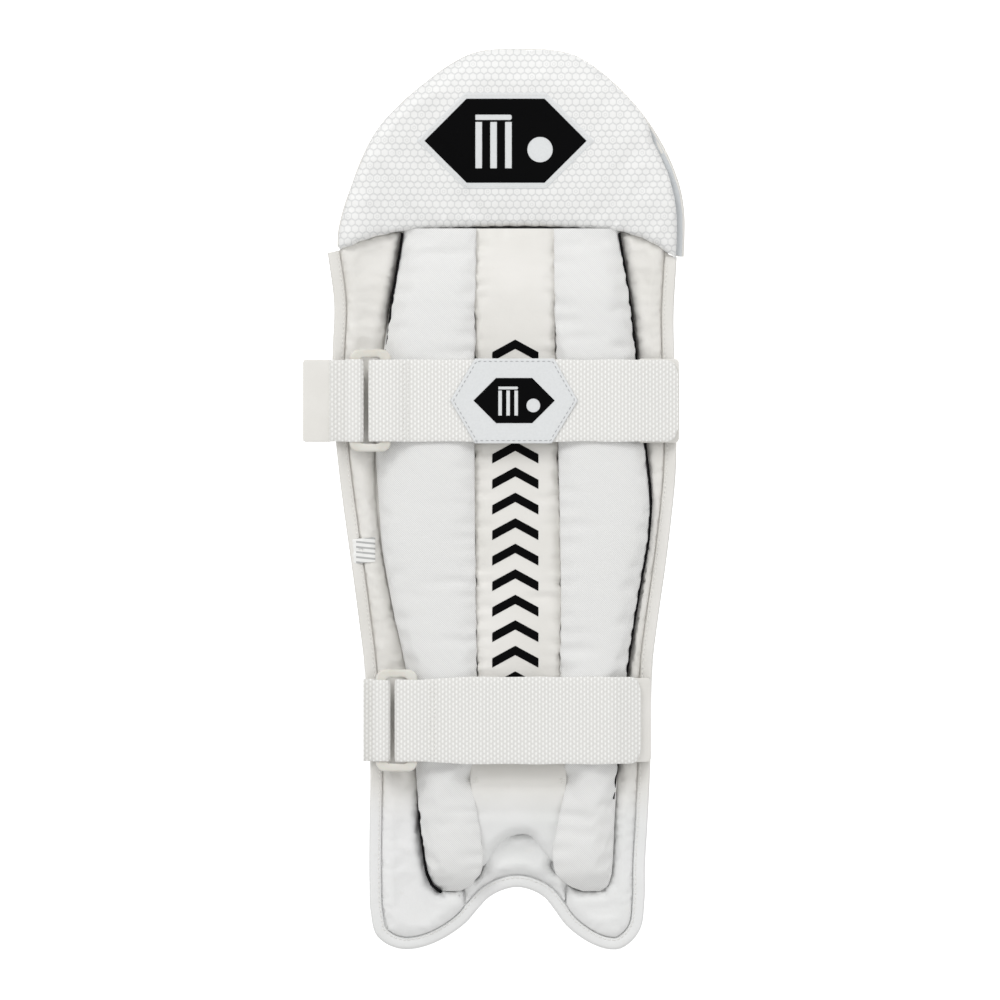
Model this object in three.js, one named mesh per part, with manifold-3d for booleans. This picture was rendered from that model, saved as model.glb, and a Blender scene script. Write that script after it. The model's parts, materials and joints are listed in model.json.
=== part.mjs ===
// A wicket-keeper's cricket leg pad, upright, seen from its leg side along +Y.
// +Z runs up the leg, +X is to the viewer's right, and the impact face looks along +Y.
// Every layer of the pad lies on one curved surface, y = wrap(x), which bends round the shin.
import * as THREE from "three";
import { mergeVertices } from "three/addons/utils/BufferGeometryUtils.js";
import Module from "manifold-3d";

const wasm = await Module();
wasm.setup();

// ---------------------------------------------------------------- driving dimensions, mm
const WRAP_RADIUS = 300;
const FACET_WIDTH = 22;
const HALF_SPAN = 143;
const GAP = 0.3;

// layers of the shell, measured from the lining's hidden side: minus is towards the leg
const LINING = [-1.2, 0];
const CORE = [0.3, 10.3];
const STIFFENER = [10.6, 12.1];
const FACE = [12.4, 13.4];
const BINDING = [-2.7, 14.9];
const BINDING_WALL = 1.2;
const BINDING_LIP = 6;
const FLANGE_WIDTH = 8.5;
const WING_PAD = [-6.8, -1.5];

const RIB_COUNT = 7;
const RIB_PITCH = 25;
const RIB_WIDTH = 23;
const RIB_HEIGHT = 9;
const RIB_WALL = 1.2;
const CANE_DIAMETER = 6;
const RIB_SEAT = 0.4;
// how far a curve's handles reach past the height of the arch that it draws
const ARCH_HANDLE = 1.33;

const BOLSTER_HEIGHT = 25;
const ANKLE_BOLSTER_HEIGHT = 20.5;
const BOLSTER_SKIN = 1.2;
const GUSSET = [-9.5, -1.5];
const GUSSET_WALL = 1.1;
const BOLSTER_BASE = -3;

const SHIN_TOP = 500;
const HEM_GAP = 0.6;
const KNEE_HINGE_Y = -33;
const KNEE_HINGE_Z = 474;
const KNEE_LEAN = THREE.MathUtils.degToRad(4);
const KNEE_LINING = [-13.2, -0.3];
const KNEE_EDGE_DROP = 4;
const KNEE_STIFFENER = [0, 1.5];
const KNEE_CORE = [1.8, 12.1];
const KNEE_BINDING = [-1.5, 14.9];
const ROLL_HEIGHT = 11;
const ROLL_HALF_WIDTH = 15;

const WEBBING = 1.5;
const PLY_GAP = 0.2;
const WEBBING_WIDTH = 55;
const RING_WIDTH = 27.5;
const RING_HEIGHT = 68;
const RING_THICKNESS = 3.6;
const RING_BAR = 7;
const RING_END_BAR = 5.4;
const RING_CORNER = 6;
const LOOP_RADIUS = 3.9;
// the strap is turned back behind itself and sewn between these distances from the ring's bar
const SEWN_FROM = 11.5;
const SEWN_TO = 21;
const STRAP_CORNER = 9;
const PATCH_THICKNESS = 1;
const TAPE_THICKNESS = 0.8;
const LANDING_THICKNESS = 1.2;
const TONGUE = [-138.7, -121.3];

// each strap: its ring, its two webbing anchors and the run of the webbing across the leg
const CALF = {
  name: "calf",
  z: 366.4,
  ringLeft: -107.5,
  ringY: -38.6,
  tabLeft: -121,
  tabRight: -111.5,
  tabY: -28,
  levelY: -36,
  shoulderX: 76,
  endX: 111.2,
  edgeX: 112,
  edgeY: -24.6,
  landingX: 84,
};
const ANKLE = {
  name: "ankle",
  z: 153.6,
  ringLeft: -90,
  ringY: -33.8,
  tabLeft: -98.5,
  tabRight: -93.5,
  tabY: -19,
  levelY: -32.8,
  shoulderX: 68,
  endX: 86.4,
  edgeX: 93.4,
  edgeY: -18.4,
  landingX: 74,
};

// the origin is where the shin bone rests on the flat top of the centre bolster
const ORIGIN = new THREE.Vector3(4, -BOLSTER_HEIGHT, 260);

// ---------------------------------------------------------------- outlines, as [x, z]
const BODY_POINTS = [
  [-116, 500], [-118, 430], [-119.3, 370], [-114.6, 320], [-106.5, 255], [-98, 190], [-94, 119],
  [-94.6, 45], [-89.5, 9], [-72, 0], [-50, 4.5], [-30, 17.5], [-15, 34], [3.5, 41], [22, 34.5],
  [36, 16.5], [54, 3.4], [72, 0], [86, 13], [89.5, 55], [93, 125], [94.5, 190], [103, 255],
  [110, 320], [110, 370], [108.5, 420], [111, 470], [111, 500],
];
// the three channels of the bolster, each as [z, left edge, right edge] from its foot to the knee hem
const LEFT_CHANNEL = [
  [38.5, -46, -36], [43, -52, -28], [51, -55.5, -22], [62, -58, -19.4], [80, -60.8, -20],
  [113, -63, -21.8], [150, -66, -22.8], [190, -70.5, -23.2], [230, -79.5, -23.6], [270, -86.5, -23.9],
  [330, -90.5, -24.3], [390, -86.7, -24.6], [440, -78.5, -24.8], [496, -70, -25],
];
const CENTRE_CHANNEL = [
  [75.5, -11, 20], [79, -15, 24.4], [86, -17.8, 27], [98, -19.4, 28.9], [113, -20.6, 31],
  [150, -21.6, 32.3], [190, -22, 32.3], [270, -22.6, 31.6], [340, -23.1, 30.2], [390, -23.4, 29.4],
  [440, -23.6, 29], [496, -23.8, 28.8],
];
const RIGHT_CHANNEL = [
  [38.5, 50, 60], [42.5, 41, 65], [50, 32, 67.2], [62, 28, 68.2], [80, 29.2, 68.8],
  [113, 32.4, 70.6], [150, 33.6, 73.5], [190, 33.6, 78], [230, 33.2, 83.5], [270, 32.8, 88],
  [300, 32.2, 89.2], [340, 31.4, 87.4], [390, 30.6, 84.4], [440, 30.2, 78.5], [496, 30, 69.5],
];
// half sections of a channel from its foot to its crown: [part of the half width, part of the height]
const ROUND_CROWN = [[1, 0], [1, 0.42], [0.94, 0.6], [0.82, 0.77], [0.62, 0.91], [0.32, 0.985], [0, 1]];
const FLAT_CROWN = [[1, 0], [1, 0.78], [0.96, 0.93], [0.88, 1]];

const DOME_POINTS = [
  [-80, 400], [-112, 440], [-115.8, 475], [-107, 508], [-89.6, 546], [-58, 577], [-26, 597],
  [6, 600], [42, 596], [76.4, 570], [100, 538.5], [113.5, 505], [115.8, 475], [111, 440], [80, 400],
];
const HEM_POINTS = [
  [-150, 460], [-116, 467], [-94, 475], [-68, 480], [-30, 481], [30, 481], [68, 480],
  [92, 473], [112, 461.6], [150, 452],
];

// ---------------------------------------------------------------- small geometry tools
const wrap = (x) => Math.sqrt(WRAP_RADIUS ** 2 - x ** 2) - WRAP_RADIUS;

const toShape = (points) => new THREE.Shape(points.map(([x, y]) => new THREE.Vector2(x, y)));

function closedOutline(points, steps = 2) {
  const curve = new THREE.CatmullRomCurve3(points.map(([x, z]) => new THREE.Vector3(x, z, 0)), true);
  const outline = curve.getPoints(points.length * steps).slice(0, -1);
  if (THREE.ShapeUtils.isClockWise(outline)) outline.reverse();
  return outline.map((p) => [p.x, p.y]);
}

// moves the edge of a counterclockwise outline outwards by a distance, or inwards where it is negative
function grow(outline, distance) {
  return outline.map((point, i) => {
    const before = outline[(i + outline.length - 1) % outline.length];
    const after = outline[(i + 1) % outline.length];
    const along = new THREE.Vector2(after[0] - before[0], after[1] - before[1]).normalize();
    return [point[0] + along.y * distance, point[1] - along.x * distance];
  });
}

function toSolid(geometry) {
  const bare = geometry.clone();
  bare.deleteAttribute("normal");
  bare.deleteAttribute("uv");
  const merged = mergeVertices(bare, 1e-4);
  const vertProperties = new Float32Array(merged.attributes.position.array);
  const triVerts = new Uint32Array(merged.index.array);
  return new wasm.Manifold(new wasm.Mesh({ numProp: 3, vertProperties, triVerts }));
}

function toGeometry(solid) {
  const data = solid.getMesh();
  const geometry = new THREE.BufferGeometry();
  geometry.setAttribute("position", new THREE.BufferAttribute(data.vertProperties, 3));
  geometry.setIndex(new THREE.BufferAttribute(data.triVerts, 1));
  const flat = geometry.toNonIndexed();
  flat.computeVertexNormals();
  return flat;
}

const unite = (solids) => solids.reduce((sum, next) => sum.add(next));

// an outline in x and z, extruded through the pad along y
function prism(outline, yLow = -60, yHigh = 60) {
  const geometry = new THREE.ExtrudeGeometry(toShape(outline), {
    depth: yHigh - yLow,
    bevelEnabled: false,
  });
  return toSolid(geometry.rotateX(Math.PI / 2).translate(0, yHigh, 0));
}

// a section in x and y, extruded up the leg
function column(section, zLow, zHigh, curveSegments = 8) {
  const shape = section instanceof THREE.Shape ? section : toShape(section);
  const geometry = new THREE.ExtrudeGeometry(shape, {
    depth: zHigh - zLow,
    bevelEnabled: false,
    curveSegments,
  });
  return toSolid(geometry.translate(0, 0, zLow));
}

// a layer of the shell that bends round the leg, between two offsets from wrap(x)
function layer([near, far], zLow = -20, zHigh = 620) {
  const xs = [];
  for (let x = -HALF_SPAN; x <= HALF_SPAN; x += FACET_WIDTH) xs.push(x);
  const nearEdge = xs.map((x) => [x, wrap(x) + near]);
  const farEdge = xs.map((x) => [x, wrap(x) + far]).reverse();
  return column([...nearEdge, ...farEdge], zLow, zHigh);
}

// a solid through rings of the same number of points, each counterclockwise seen from the last ring's side
function loft(rings, flatten) {
  const count = rings[0].length;
  const index = [];
  for (let low = 0; low < (rings.length - 1) * count; low += count) {
    for (let i = 0; i < count; i += 1) {
      const a = low + i;
      const b = low + ((i + 1) % count);
      index.push(a, b, a + count, b, b + count, a + count);
    }
  }
  const top = (rings.length - 1) * count;
  const cap = rings[0].map((point) => new THREE.Vector2(...flatten(point)));
  for (const [a, b, c] of THREE.ShapeUtils.triangulateShape(cap, [])) {
    index.push(a, c, b, top + a, top + b, top + c);
  }
  const geometry = new THREE.BufferGeometry();
  geometry.setAttribute("position", new THREE.Float32BufferAttribute(rings.flat(2), 3));
  geometry.setIndex(index);
  return toSolid(geometry);
}

// ---------------------------------------------------------------- materials
const finish = (color, roughness) => new THREE.MeshStandardMaterial({ color, roughness, metalness: 0 });
const LEATHER = finish(0xe4e3de, 0.45);
const FOAM = finish(0xd9d4c0, 0.95);
const SHEET = finish(0xc9cdd0, 0.4);
const TWILL = finish(0xe9e9e8, 0.8);
const BLACK = finish(0x141414, 0.5);
const HONEYCOMB = finish(0xe7e7e7, 0.5);
const CANE = finish(0xc9a66b, 0.7);
const WEB = finish(0xe4e4e0, 0.85);
const PLASTIC = finish(0xd1cec6, 0.4);
const SILVER = finish(0xd6d8d7, 0.35);

const pad = new THREE.Group();
pad.position.copy(ORIGIN).negate();

function addPart(name, solid, material, parent = pad) {
  const mesh = new THREE.Mesh(toGeometry(solid), material);
  mesh.name = name;
  parent.add(mesh);
  return mesh;
}

// ---------------------------------------------------------------- shin shell
const body = closedOutline(BODY_POINTS);
const hem = new THREE.SplineCurve(HEM_POINTS.map(([x, z]) => new THREE.Vector2(x, z)))
  .getPoints(27)
  .map((p) => [p.x, p.y]);
const belowHem = prism([...hem.map(([x, z]) => [x, z - HEM_GAP]), [150, -40], [-150, -40]]);
const aboveHem = prism([...hem.map(([x, z]) => [x, z + HEM_GAP]), [150, 640], [-150, 640]]);

const shellLayer = (offsets, inset) =>
  layer(offsets).intersect(prism(grow(body, -inset))).intersect(belowHem);

function shinBinding() {
  const [near, far] = BINDING;
  const inside = [near + BINDING_WALL, far - BINDING_WALL];
  return layer(BINDING)
    .intersect(prism(body))
    .subtract(layer(inside).intersect(prism(grow(body, -BINDING_WALL))))
    .subtract(prism(grow(body, -BINDING_LIP)))
    .intersect(belowHem);
}

function addShinShell() {
  const edge = BINDING_WALL + GAP;
  addPart("shin_lining", shellLayer(LINING, edge), LEATHER);
  addPart("shin_core", shellLayer(CORE, FLANGE_WIDTH), FOAM);
  addPart("shin_stiffener", shellLayer(STIFFENER, FLANGE_WIDTH), SHEET);
  addPart("shin_face", shellLayer(FACE, edge), LEATHER);
  addPart("shin_binding", shinBinding(), LEATHER);
}

// a rib is a padded channel on the impact face, held in shape by a cane
function addRibs() {
  const clip = prism(grow(body, -BINDING_LIP - 1)).intersect(belowHem);
  const rise = FACE[1] + GAP;
  for (let i = 0; i < RIB_COUNT; i += 1) {
    const x = (i - (RIB_COUNT - 1) / 2) * RIB_PITCH;
    const low = wrap(Math.abs(x) - RIB_WIDTH / 2) + rise + RIB_SEAT;
    const channel = (halfWidth, height) => {
      const handle = low + height * ARCH_HANDLE;
      const section = new THREE.Shape();
      section.moveTo(x - halfWidth, low);
      section.bezierCurveTo(x - halfWidth, handle, x + halfWidth, handle, x + halfWidth, low);
      return column(section, 0, SHIN_TOP, 6);
    };
    const skin = channel(RIB_WIDTH / 2, RIB_HEIGHT)
      .subtract(channel(RIB_WIDTH / 2 - RIB_WALL, RIB_HEIGHT - RIB_WALL));
    addPart(`shin_rib_${i + 1}`, skin.intersect(clip), LEATHER);
    const caneRadius = CANE_DIAMETER / 2;
    const cane = new THREE.Shape().absarc(x, low + caneRadius + GAP, caneRadius, 0, Math.PI * 2);
    addPart(`rib_cane_${i + 1}`, column(cane, 0, SHIN_TOP, 4).intersect(clip), CANE);
  }
}

// ---------------------------------------------------------------- bolsters on the leg side
// the bolster is lower under the ankle and tapers off at the knee hem
function bolsterHeight(z) {
  const ankle = THREE.MathUtils.smoothstep(z, 95, 165);
  const hemTaper = THREE.MathUtils.smoothstep(z, 440, 486);
  const full = THREE.MathUtils.lerp(ANKLE_BOLSTER_HEIGHT, BOLSTER_HEIGHT, ankle);
  return full * (1 - 0.5 * hemTaper);
}

// a channel's solid, lofted up the leg, with its base a little deeper than the layer it is later cut to
function channelSolid(channel, crown, shrink) {
  const mirrored = crown.filter(([part]) => part > 0).reverse().map(([part, height]) => [-part, height]);
  const section = [...crown, ...mirrored].reverse();
  const flatTop = crown === FLAT_CROWN;
  const rings = channel.map(([z, left, right], station) => {
    const half = (right - left) / 2 - shrink;
    const middle = (left + right) / 2;
    const foot = Math.sqrt(Math.min(1, (station + 1) / 4));
    const top = -bolsterHeight(z) * foot + shrink;
    return section.map(([part, height]) => {
      const x = middle + part * half;
      const surface = flatTop ? 0 : wrap(x);
      const y = surface + THREE.MathUtils.lerp(BOLSTER_BASE + 5, top, height);
      return [x, y, z + (station === 0 ? shrink : 0)];
    });
  });
  return loft(rings, ([x, y]) => [x, y]);
}

const channelOutline = (channel) => [
  ...channel.map(([z, , right]) => [right, z]),
  ...channel.map(([z, left]) => [left, z]).reverse(),
];

function addBolsters() {
  const channels = [
    ["left", LEFT_CHANNEL, ROUND_CROWN, TWILL],
    ["centre", CENTRE_CHANNEL, FLAT_CROWN, LEATHER],
    ["right", RIGHT_CHANNEL, ROUND_CROWN, TWILL],
  ];
  const footprint = (outset) =>
    unite(channels.map(([, channel]) => prism(grow(channelOutline(channel), outset))));
  const cutTo = (solid, base) => solid.intersect(layer([-50, base])).intersect(belowHem);

  for (const [side, channel, crown, material] of channels) {
    const inside = channelSolid(channel, crown, BOLSTER_SKIN);
    const cover = channelSolid(channel, crown, 0).subtract(inside);
    const foam = channelSolid(channel, crown, BOLSTER_SKIN + GAP * 2);
    addPart(`bolster_${side}_cover`, cutTo(cover, BOLSTER_BASE), material);
    addPart(`bolster_${side}_foam`, cutTo(foam, BOLSTER_BASE - GAP), FOAM);
  }

  const gussetInside = layer([GUSSET[0] - 5, GUSSET[1] - GUSSET_WALL]).intersect(footprint(0.4));
  const gusset = layer(GUSSET)
    .intersect(footprint(0.4 + GUSSET_WALL))
    .subtract(gussetInside)
    .intersect(belowHem);
  addPart("bolster_gusset", gusset, BLACK);

  const wings = layer(WING_PAD)
    .intersect(prism(grow(body, -FLANGE_WIDTH)))
    .subtract(footprint(2.6))
    .intersect(belowHem);
  const between = (xLow, xHigh) => prism([[xLow, -40], [xHigh, -40], [xHigh, 640], [xLow, 640]]);
  addPart("wing_pad_left", wings.intersect(between(-150, -31.5)), LEATHER);
  addPart("instep_pad", wings.intersect(between(-30.5, 36.5)), LEATHER);
  addPart("wing_pad_right", wings.intersect(between(37.5, 150)), LEATHER);
}

// ---------------------------------------------------------------- knee dome
// the upper rim of a dome on its right side stands further out than the lining sewn into it
function kneeLiningOutline(dome) {
  const rim = 3.6;
  return grow(dome, -rim).map(([x, z]) => {
    const step = THREE.MathUtils.smoothstep(x, 70, 105) * 4;
    return [x - step, z];
  });
}

function domeMark(width, height) {
  const half = width / 2;
  const slope = height / 2;
  const shape = new THREE.Shape();
  shape.moveTo(-half, 0);
  shape.lineTo(-half + slope, height / 2);
  shape.lineTo(half - slope, height / 2);
  shape.lineTo(half, 0);
  shape.lineTo(half - slope, -height / 2);
  shape.lineTo(-half + slope, -height / 2);
  shape.closePath();
  return shape.getPoints().map((p) => [p.x, p.y]);
}

// a wicket, three stumps under two bails, with a ball: cut through a plate
function wicketCut(height, x, z) {
  const stump = height * 0.09;
  const cuts = [-2.2, 0, 2.2].map((step) =>
    rectangle(x + step * stump, z - height * 0.06, stump, height * 0.62));
  cuts.push(rectangle(x, z + height * 0.31, stump * 5.4, stump * 0.8));
  const ball = new THREE.Shape().absarc(x + height * 0.62, z - height * 0.12, height * 0.17, 0, Math.PI * 2);
  cuts.push(prism(ball.getPoints(8).slice(0, -1).map((p) => [p.x, p.y])));
  return unite(cuts);
}

function rectangle(x, z, width, height) {
  const w = width / 2;
  const h = height / 2;
  return prism([[x - w, z - h], [x + w, z - h], [x + w, z + h], [x - w, z + h]]);
}

// a padded roll across the impact face, beside the kneecap
function kneeRoll(z, halfLength) {
  const crown = [[0, -1], [0.55, -0.95], [0.9, -0.6], [1, 0], [0.9, 0.6], [0.55, 0.95], [0, 1]];
  const stations = 14;
  const rings = [];
  for (let i = 0; i <= stations; i += 1) {
    const along = (i / stations) * 2 - 1;
    const x = along * halfLength;
    const swell = 0.35 + 0.65 * Math.sqrt(1 - along ** 6);
    const base = wrap(x) + FACE[1] - 4;
    const rise = (ROLL_HEIGHT + 4) * swell;
    rings.push(crown.map(([height, side]) => [x, base + height * rise, z + side * swell * ROLL_HALF_WIDTH]));
  }
  return loft(rings, ([, y, zed]) => [y, zed]).intersect(layer([FACE[1] + GAP, 40]));
}

function addKnee() {
  const dome = closedOutline(DOME_POINTS);
  const lining = kneeLiningOutline(dome);
  const knee = new THREE.Group();
  knee.position.set(0, KNEE_HINGE_Y, KNEE_HINGE_Z);
  knee.rotation.x = KNEE_LEAN;
  pad.add(knee);
  const add = (name, solid, material) => {
    const part = addPart(name, solid.intersect(aboveHem), material, knee);
    part.geometry.translate(0, -KNEE_HINGE_Y, -KNEE_HINGE_Z);
  };

  // the padding steps down to a lower edge all round
  const padded = (near, far, inset) => unite([
    layer([near + KNEE_EDGE_DROP, far]).intersect(prism(grow(lining, -inset))),
    layer([near, far]).intersect(prism(grow(lining, -inset - 5))),
  ]);
  const [near, far] = KNEE_LINING;
  const skin = BOLSTER_SKIN;
  add("knee_lining", padded(near, far, 0).subtract(padded(near + skin, far + 5, skin)), HONEYCOMB);
  add("knee_pad_foam", padded(near + skin + GAP, far, skin + GAP), FOAM);

  const edge = BINDING_WALL + GAP;
  add("knee_stiffener", layer(KNEE_STIFFENER).intersect(prism(grow(dome, -edge))), SHEET);
  add("knee_core", layer(KNEE_CORE).intersect(prism(grow(dome, -edge))), FOAM);
  add("knee_face", layer(FACE).intersect(prism(grow(dome, -edge))), LEATHER);
  const rim = layer(KNEE_BINDING)
    .intersect(prism(dome))
    .subtract(layer([KNEE_BINDING[0] + BINDING_WALL, KNEE_BINDING[1] - BINDING_WALL])
      .intersect(prism(grow(dome, -BINDING_WALL))))
    .subtract(prism(grow(dome, -3)));
  add("knee_binding", rim, LEATHER);

  add("knee_roll_lower", kneeRoll(498, 96), LEATHER);
  add("knee_roll_upper", kneeRoll(534, 84), LEATHER);

  const markX = -3.7;
  const markZ = 539;
  const moved = (outline) => outline.map(([x, z]) => [x + markX, z + markZ]);
  const baseTop = near - GAP;
  add("emblem_base", layer([baseTop - 0.6, baseTop]).intersect(prism(moved(domeMark(118, 64)))), SILVER);
  const mark = layer([baseTop - 1.5, baseTop - 0.6 - GAP])
    .intersect(prism(moved(domeMark(108, 56))))
    .subtract(wicketCut(50, markX - 8, markZ));
  add("emblem_mark", mark, BLACK);
}

// ---------------------------------------------------------------- rings and straps
function roundedSlot(width, height, radius) {
  const w = width / 2;
  const h = height / 2;
  const path = new THREE.Shape();
  path.absarc(w - radius, h - radius, radius, 0, Math.PI / 2);
  path.absarc(radius - w, h - radius, radius, Math.PI / 2, Math.PI);
  path.absarc(radius - w, radius - h, radius, Math.PI, Math.PI * 1.5);
  path.absarc(w - radius, radius - h, radius, Math.PI * 1.5, Math.PI * 2);
  path.closePath();
  return path;
}

function ring(strap) {
  const bevel = 0.9;
  const shape = roundedSlot(RING_WIDTH - bevel * 2, RING_HEIGHT - bevel * 2, RING_CORNER - bevel);
  const slotWidth = RING_WIDTH - RING_BAR * 2 + bevel * 2;
  const slotHeight = RING_HEIGHT - RING_END_BAR * 2 + bevel * 2;
  shape.holes.push(roundedSlot(slotWidth, slotHeight, 2.5));
  const geometry = new THREE.ExtrudeGeometry(shape, {
    depth: RING_THICKNESS - bevel * 2,
    bevelSize: bevel,
    bevelThickness: bevel,
    bevelSegments: 1,
    curveSegments: 4,
  });
  geometry.translate(0, 0, bevel - RING_THICKNESS / 2).rotateX(Math.PI / 2);
  return toSolid(geometry.translate(strap.ringLeft + RING_WIDTH / 2, strap.ringY, strap.z));
}

const leftBar = (strap) => strap.ringLeft + RING_BAR / 2;
const rightBar = (strap) => strap.ringLeft + RING_WIDTH - RING_BAR / 2;
const zRange = (strap, width) => [strap.z - width / 2, strap.z + width / 2];

// the angle at which a line from a point touches a circle round a bar, on one side or the other
function touchAngle([x, y], bar, radius, side) {
  const away = Math.hypot(x - bar[0], y - bar[1]);
  return Math.atan2(y - bar[1], x - bar[0]) + side * Math.acos(radius / away);
}

// webbing sewn to the wing's edge, looped round the ring's left bar
function tabLoop(strap) {
  const bar = [leftBar(strap), strap.ringY];
  const outer = LOOP_RADIUS + WEBBING;
  const stack = WEBBING * 2 + PLY_GAP;
  const nearWing = [strap.tabRight, strap.tabY];
  const nearLeg = [strap.tabRight, strap.tabY - stack];
  const sewn = [strap.tabRight, strap.tabY - stack / 2];
  const turn = 2 * Math.PI;
  const section = new THREE.Shape();
  section.moveTo(strap.tabLeft, strap.tabY);
  section.lineTo(...nearWing);
  const fromWing = touchAngle(nearWing, bar, outer, -1);
  section.absarc(...bar, outer, fromWing, touchAngle(nearLeg, bar, outer, 1) - turn, true);
  section.lineTo(...nearLeg);
  section.lineTo(strap.tabLeft, strap.tabY - stack);
  const inner = LOOP_RADIUS;
  const eye = new THREE.Path();
  eye.absarc(...bar, inner, touchAngle(sewn, bar, inner, 1) - turn, touchAngle(sewn, bar, inner, -1), false);
  eye.lineTo(...sewn);
  section.holes.push(eye);
  return column(section, ...zRange(strap, WEBBING_WIDTH), 6);
}

// height of the strap's underside at x: level over the bolsters, then down to the right wing's edge
function strapUnderside(strap, x) {
  const stack = LANDING_THICKNESS + TAPE_THICKNESS + GAP * 2;
  const slope = (strap.edgeY - stack - strap.levelY) / (strap.edgeX - strap.shoulderX);
  return strap.levelY + Math.max(0, x - strap.shoulderX) * slope;
}

function strapWebbing(strap) {
  const bar = [rightBar(strap), strap.ringY];
  const outer = LOOP_RADIUS + WEBBING;
  const sewnFrom = bar[0] + SEWN_FROM;
  const sewnTo = bar[0] + SEWN_TO;
  const under = (at) => strapUnderside(strap, at);
  const turnBack = [sewnFrom, under(0) + WEBBING + PLY_GAP];
  const main = [sewnFrom, under(0) - WEBBING];
  const sewn = [sewnFrom, under(0)];
  const turn = 2 * Math.PI;
  const section = new THREE.Shape();
  section.moveTo(...turnBack);
  section.lineTo(sewnTo, turnBack[1]);
  section.lineTo(sewnTo, under(0));
  section.lineTo(strap.shoulderX, under(strap.shoulderX));
  section.lineTo(strap.edgeX, under(strap.edgeX));
  section.lineTo(strap.edgeX, under(strap.edgeX) - WEBBING);
  section.lineTo(strap.shoulderX, under(strap.shoulderX) - WEBBING);
  section.lineTo(...main);
  const fromMain = touchAngle(main, bar, outer, -1);
  section.absarc(...bar, outer, fromMain, touchAngle(turnBack, bar, outer, 1) - turn, true);
  const inner = LOOP_RADIUS;
  const eye = new THREE.Path();
  eye.absarc(...bar, inner, touchAngle(sewn, bar, inner, 1) - turn, touchAngle(sewn, bar, inner, -1), false);
  eye.lineTo(...sewn);
  section.holes.push(eye);
  const run = column(section, ...zRange(strap, WEBBING_WIDTH), 6);
  return run.intersect(prism(strapEnd(strap)));
}

// the free end has rounded corners
function strapEnd(strap) {
  const radius = STRAP_CORNER;
  const half = WEBBING_WIDTH / 2;
  const shape = new THREE.Shape();
  shape.moveTo(-HALF_SPAN, strap.z - half - 1);
  shape.lineTo(strap.endX - radius, strap.z - half - 1);
  shape.absarc(strap.endX - radius, strap.z - half + radius, radius, -Math.PI / 2, 0);
  shape.absarc(strap.endX - radius, strap.z + half - radius, radius, 0, Math.PI / 2);
  shape.lineTo(-HALF_SPAN, strap.z + half + 1);
  shape.closePath();
  return shape.getPoints(5).map((p) => [p.x, p.y]);
}

// a strip of material that follows the strap's underside from x0 to x1, between two depths below it
function underStrap(strap, x0, x1, depthLow, depthHigh, width) {
  const xs = [x0, strap.shoulderX, x1].filter((x) => x >= x0 && x <= x1);
  const top = xs.map((x) => [x, strapUnderside(strap, x) + depthLow]);
  const bottom = xs.map((x) => [x, strapUnderside(strap, x) + depthHigh]).reverse();
  return column([...top, ...bottom], ...zRange(strap, width));
}

function addStrap(strap) {
  const { name } = strap;
  addPart(`${name}_tab_loop`, tabLoop(strap), WEB);
  addPart(`${name}_ring`, ring(strap), PLASTIC);
  addPart(`${name}_strap`, strapWebbing(strap), WEB);
  const liningFrom = rightBar(strap) + SEWN_TO + GAP * 2;
  const tape = [GAP, GAP + TAPE_THICKNESS];
  const lining = underStrap(strap, liningFrom, strap.shoulderX - 1, ...tape, WEBBING_WIDTH - 4);
  addPart(`${name}_strap_lining`, lining, TWILL);
  const hooks = underStrap(strap, strap.landingX + 3, strap.endX - 3, ...tape, WEBBING_WIDTH - 10);
  addPart(`${name}_hook_tape`, hooks, TWILL);
  const below = tape[1] + GAP;
  const patch = [below, below + LANDING_THICKNESS];
  const landing = underStrap(strap, strap.landingX, strap.edgeX, ...patch, WEBBING_WIDTH + 1);
  addPart(`${name}_landing_patch`, landing, LEATHER);
}

function addPatchAndTail() {
  const corners = [[-40.5, 0], [-24, 28], [28.5, 28], [44.4, 0], [27, -28.5], [-24, -28.5]];
  const hexagon = corners.map(([x, z]) => [x, z + CALF.z]);
  const top = CALF.levelY - WEBBING - GAP;
  addPart("calf_patch", prism(hexagon, top - PATCH_THICKNESS, top), SILVER);
  const markTop = top - PATCH_THICKNESS - GAP;
  const mark = prism(domeMark(54, 30).map(([x, z]) => [x + 2, z + CALF.z]), markTop - 0.6, markTop);
  addPart("calf_patch_mark", mark.subtract(wicketCut(27, -2, CALF.z)), BLACK);

  // a smooth pull tongue is sewn under the calf tab and stands out past the wing's edge
  const [left, right] = TONGUE;
  const low = CALF.z - WEBBING_WIDTH / 2;
  const high = CALF.z + WEBBING_WIDTH / 2;
  const tongue = [[left, low], [right, low], [right, high], [left, high]];
  const tongueTop = CALF.tabY - 1;
  addPart("calf_pull_tongue", prism(tongue, tongueTop - LANDING_THICKNESS, tongueTop), LEATHER);
}

// a care label sewn in under the left bolster's edge
function addCareLabel() {
  const outline = [[-106.5, 257.5], [-90.6, 259.2], [-90.6, 275.6], [-106.5, 274]];
  const [near] = WING_PAD;
  addPart("care_label", layer([near - GAP - 0.4, near - GAP]).intersect(prism(outline)), SHEET);
}

addShinShell();
addRibs();
addBolsters();
addKnee();
addStrap(CALF);
addStrap(ANKLE);
addPatchAndTail();
addCareLabel();

const model = new THREE.Group();
model.add(pad);

export default model;
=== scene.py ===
import json
import math

import bmesh
import bpy
import numpy as np
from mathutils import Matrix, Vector
from mathutils.bvhtree import BVHTree
from mathutils.geometry import delaunay_2d_cdt


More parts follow.
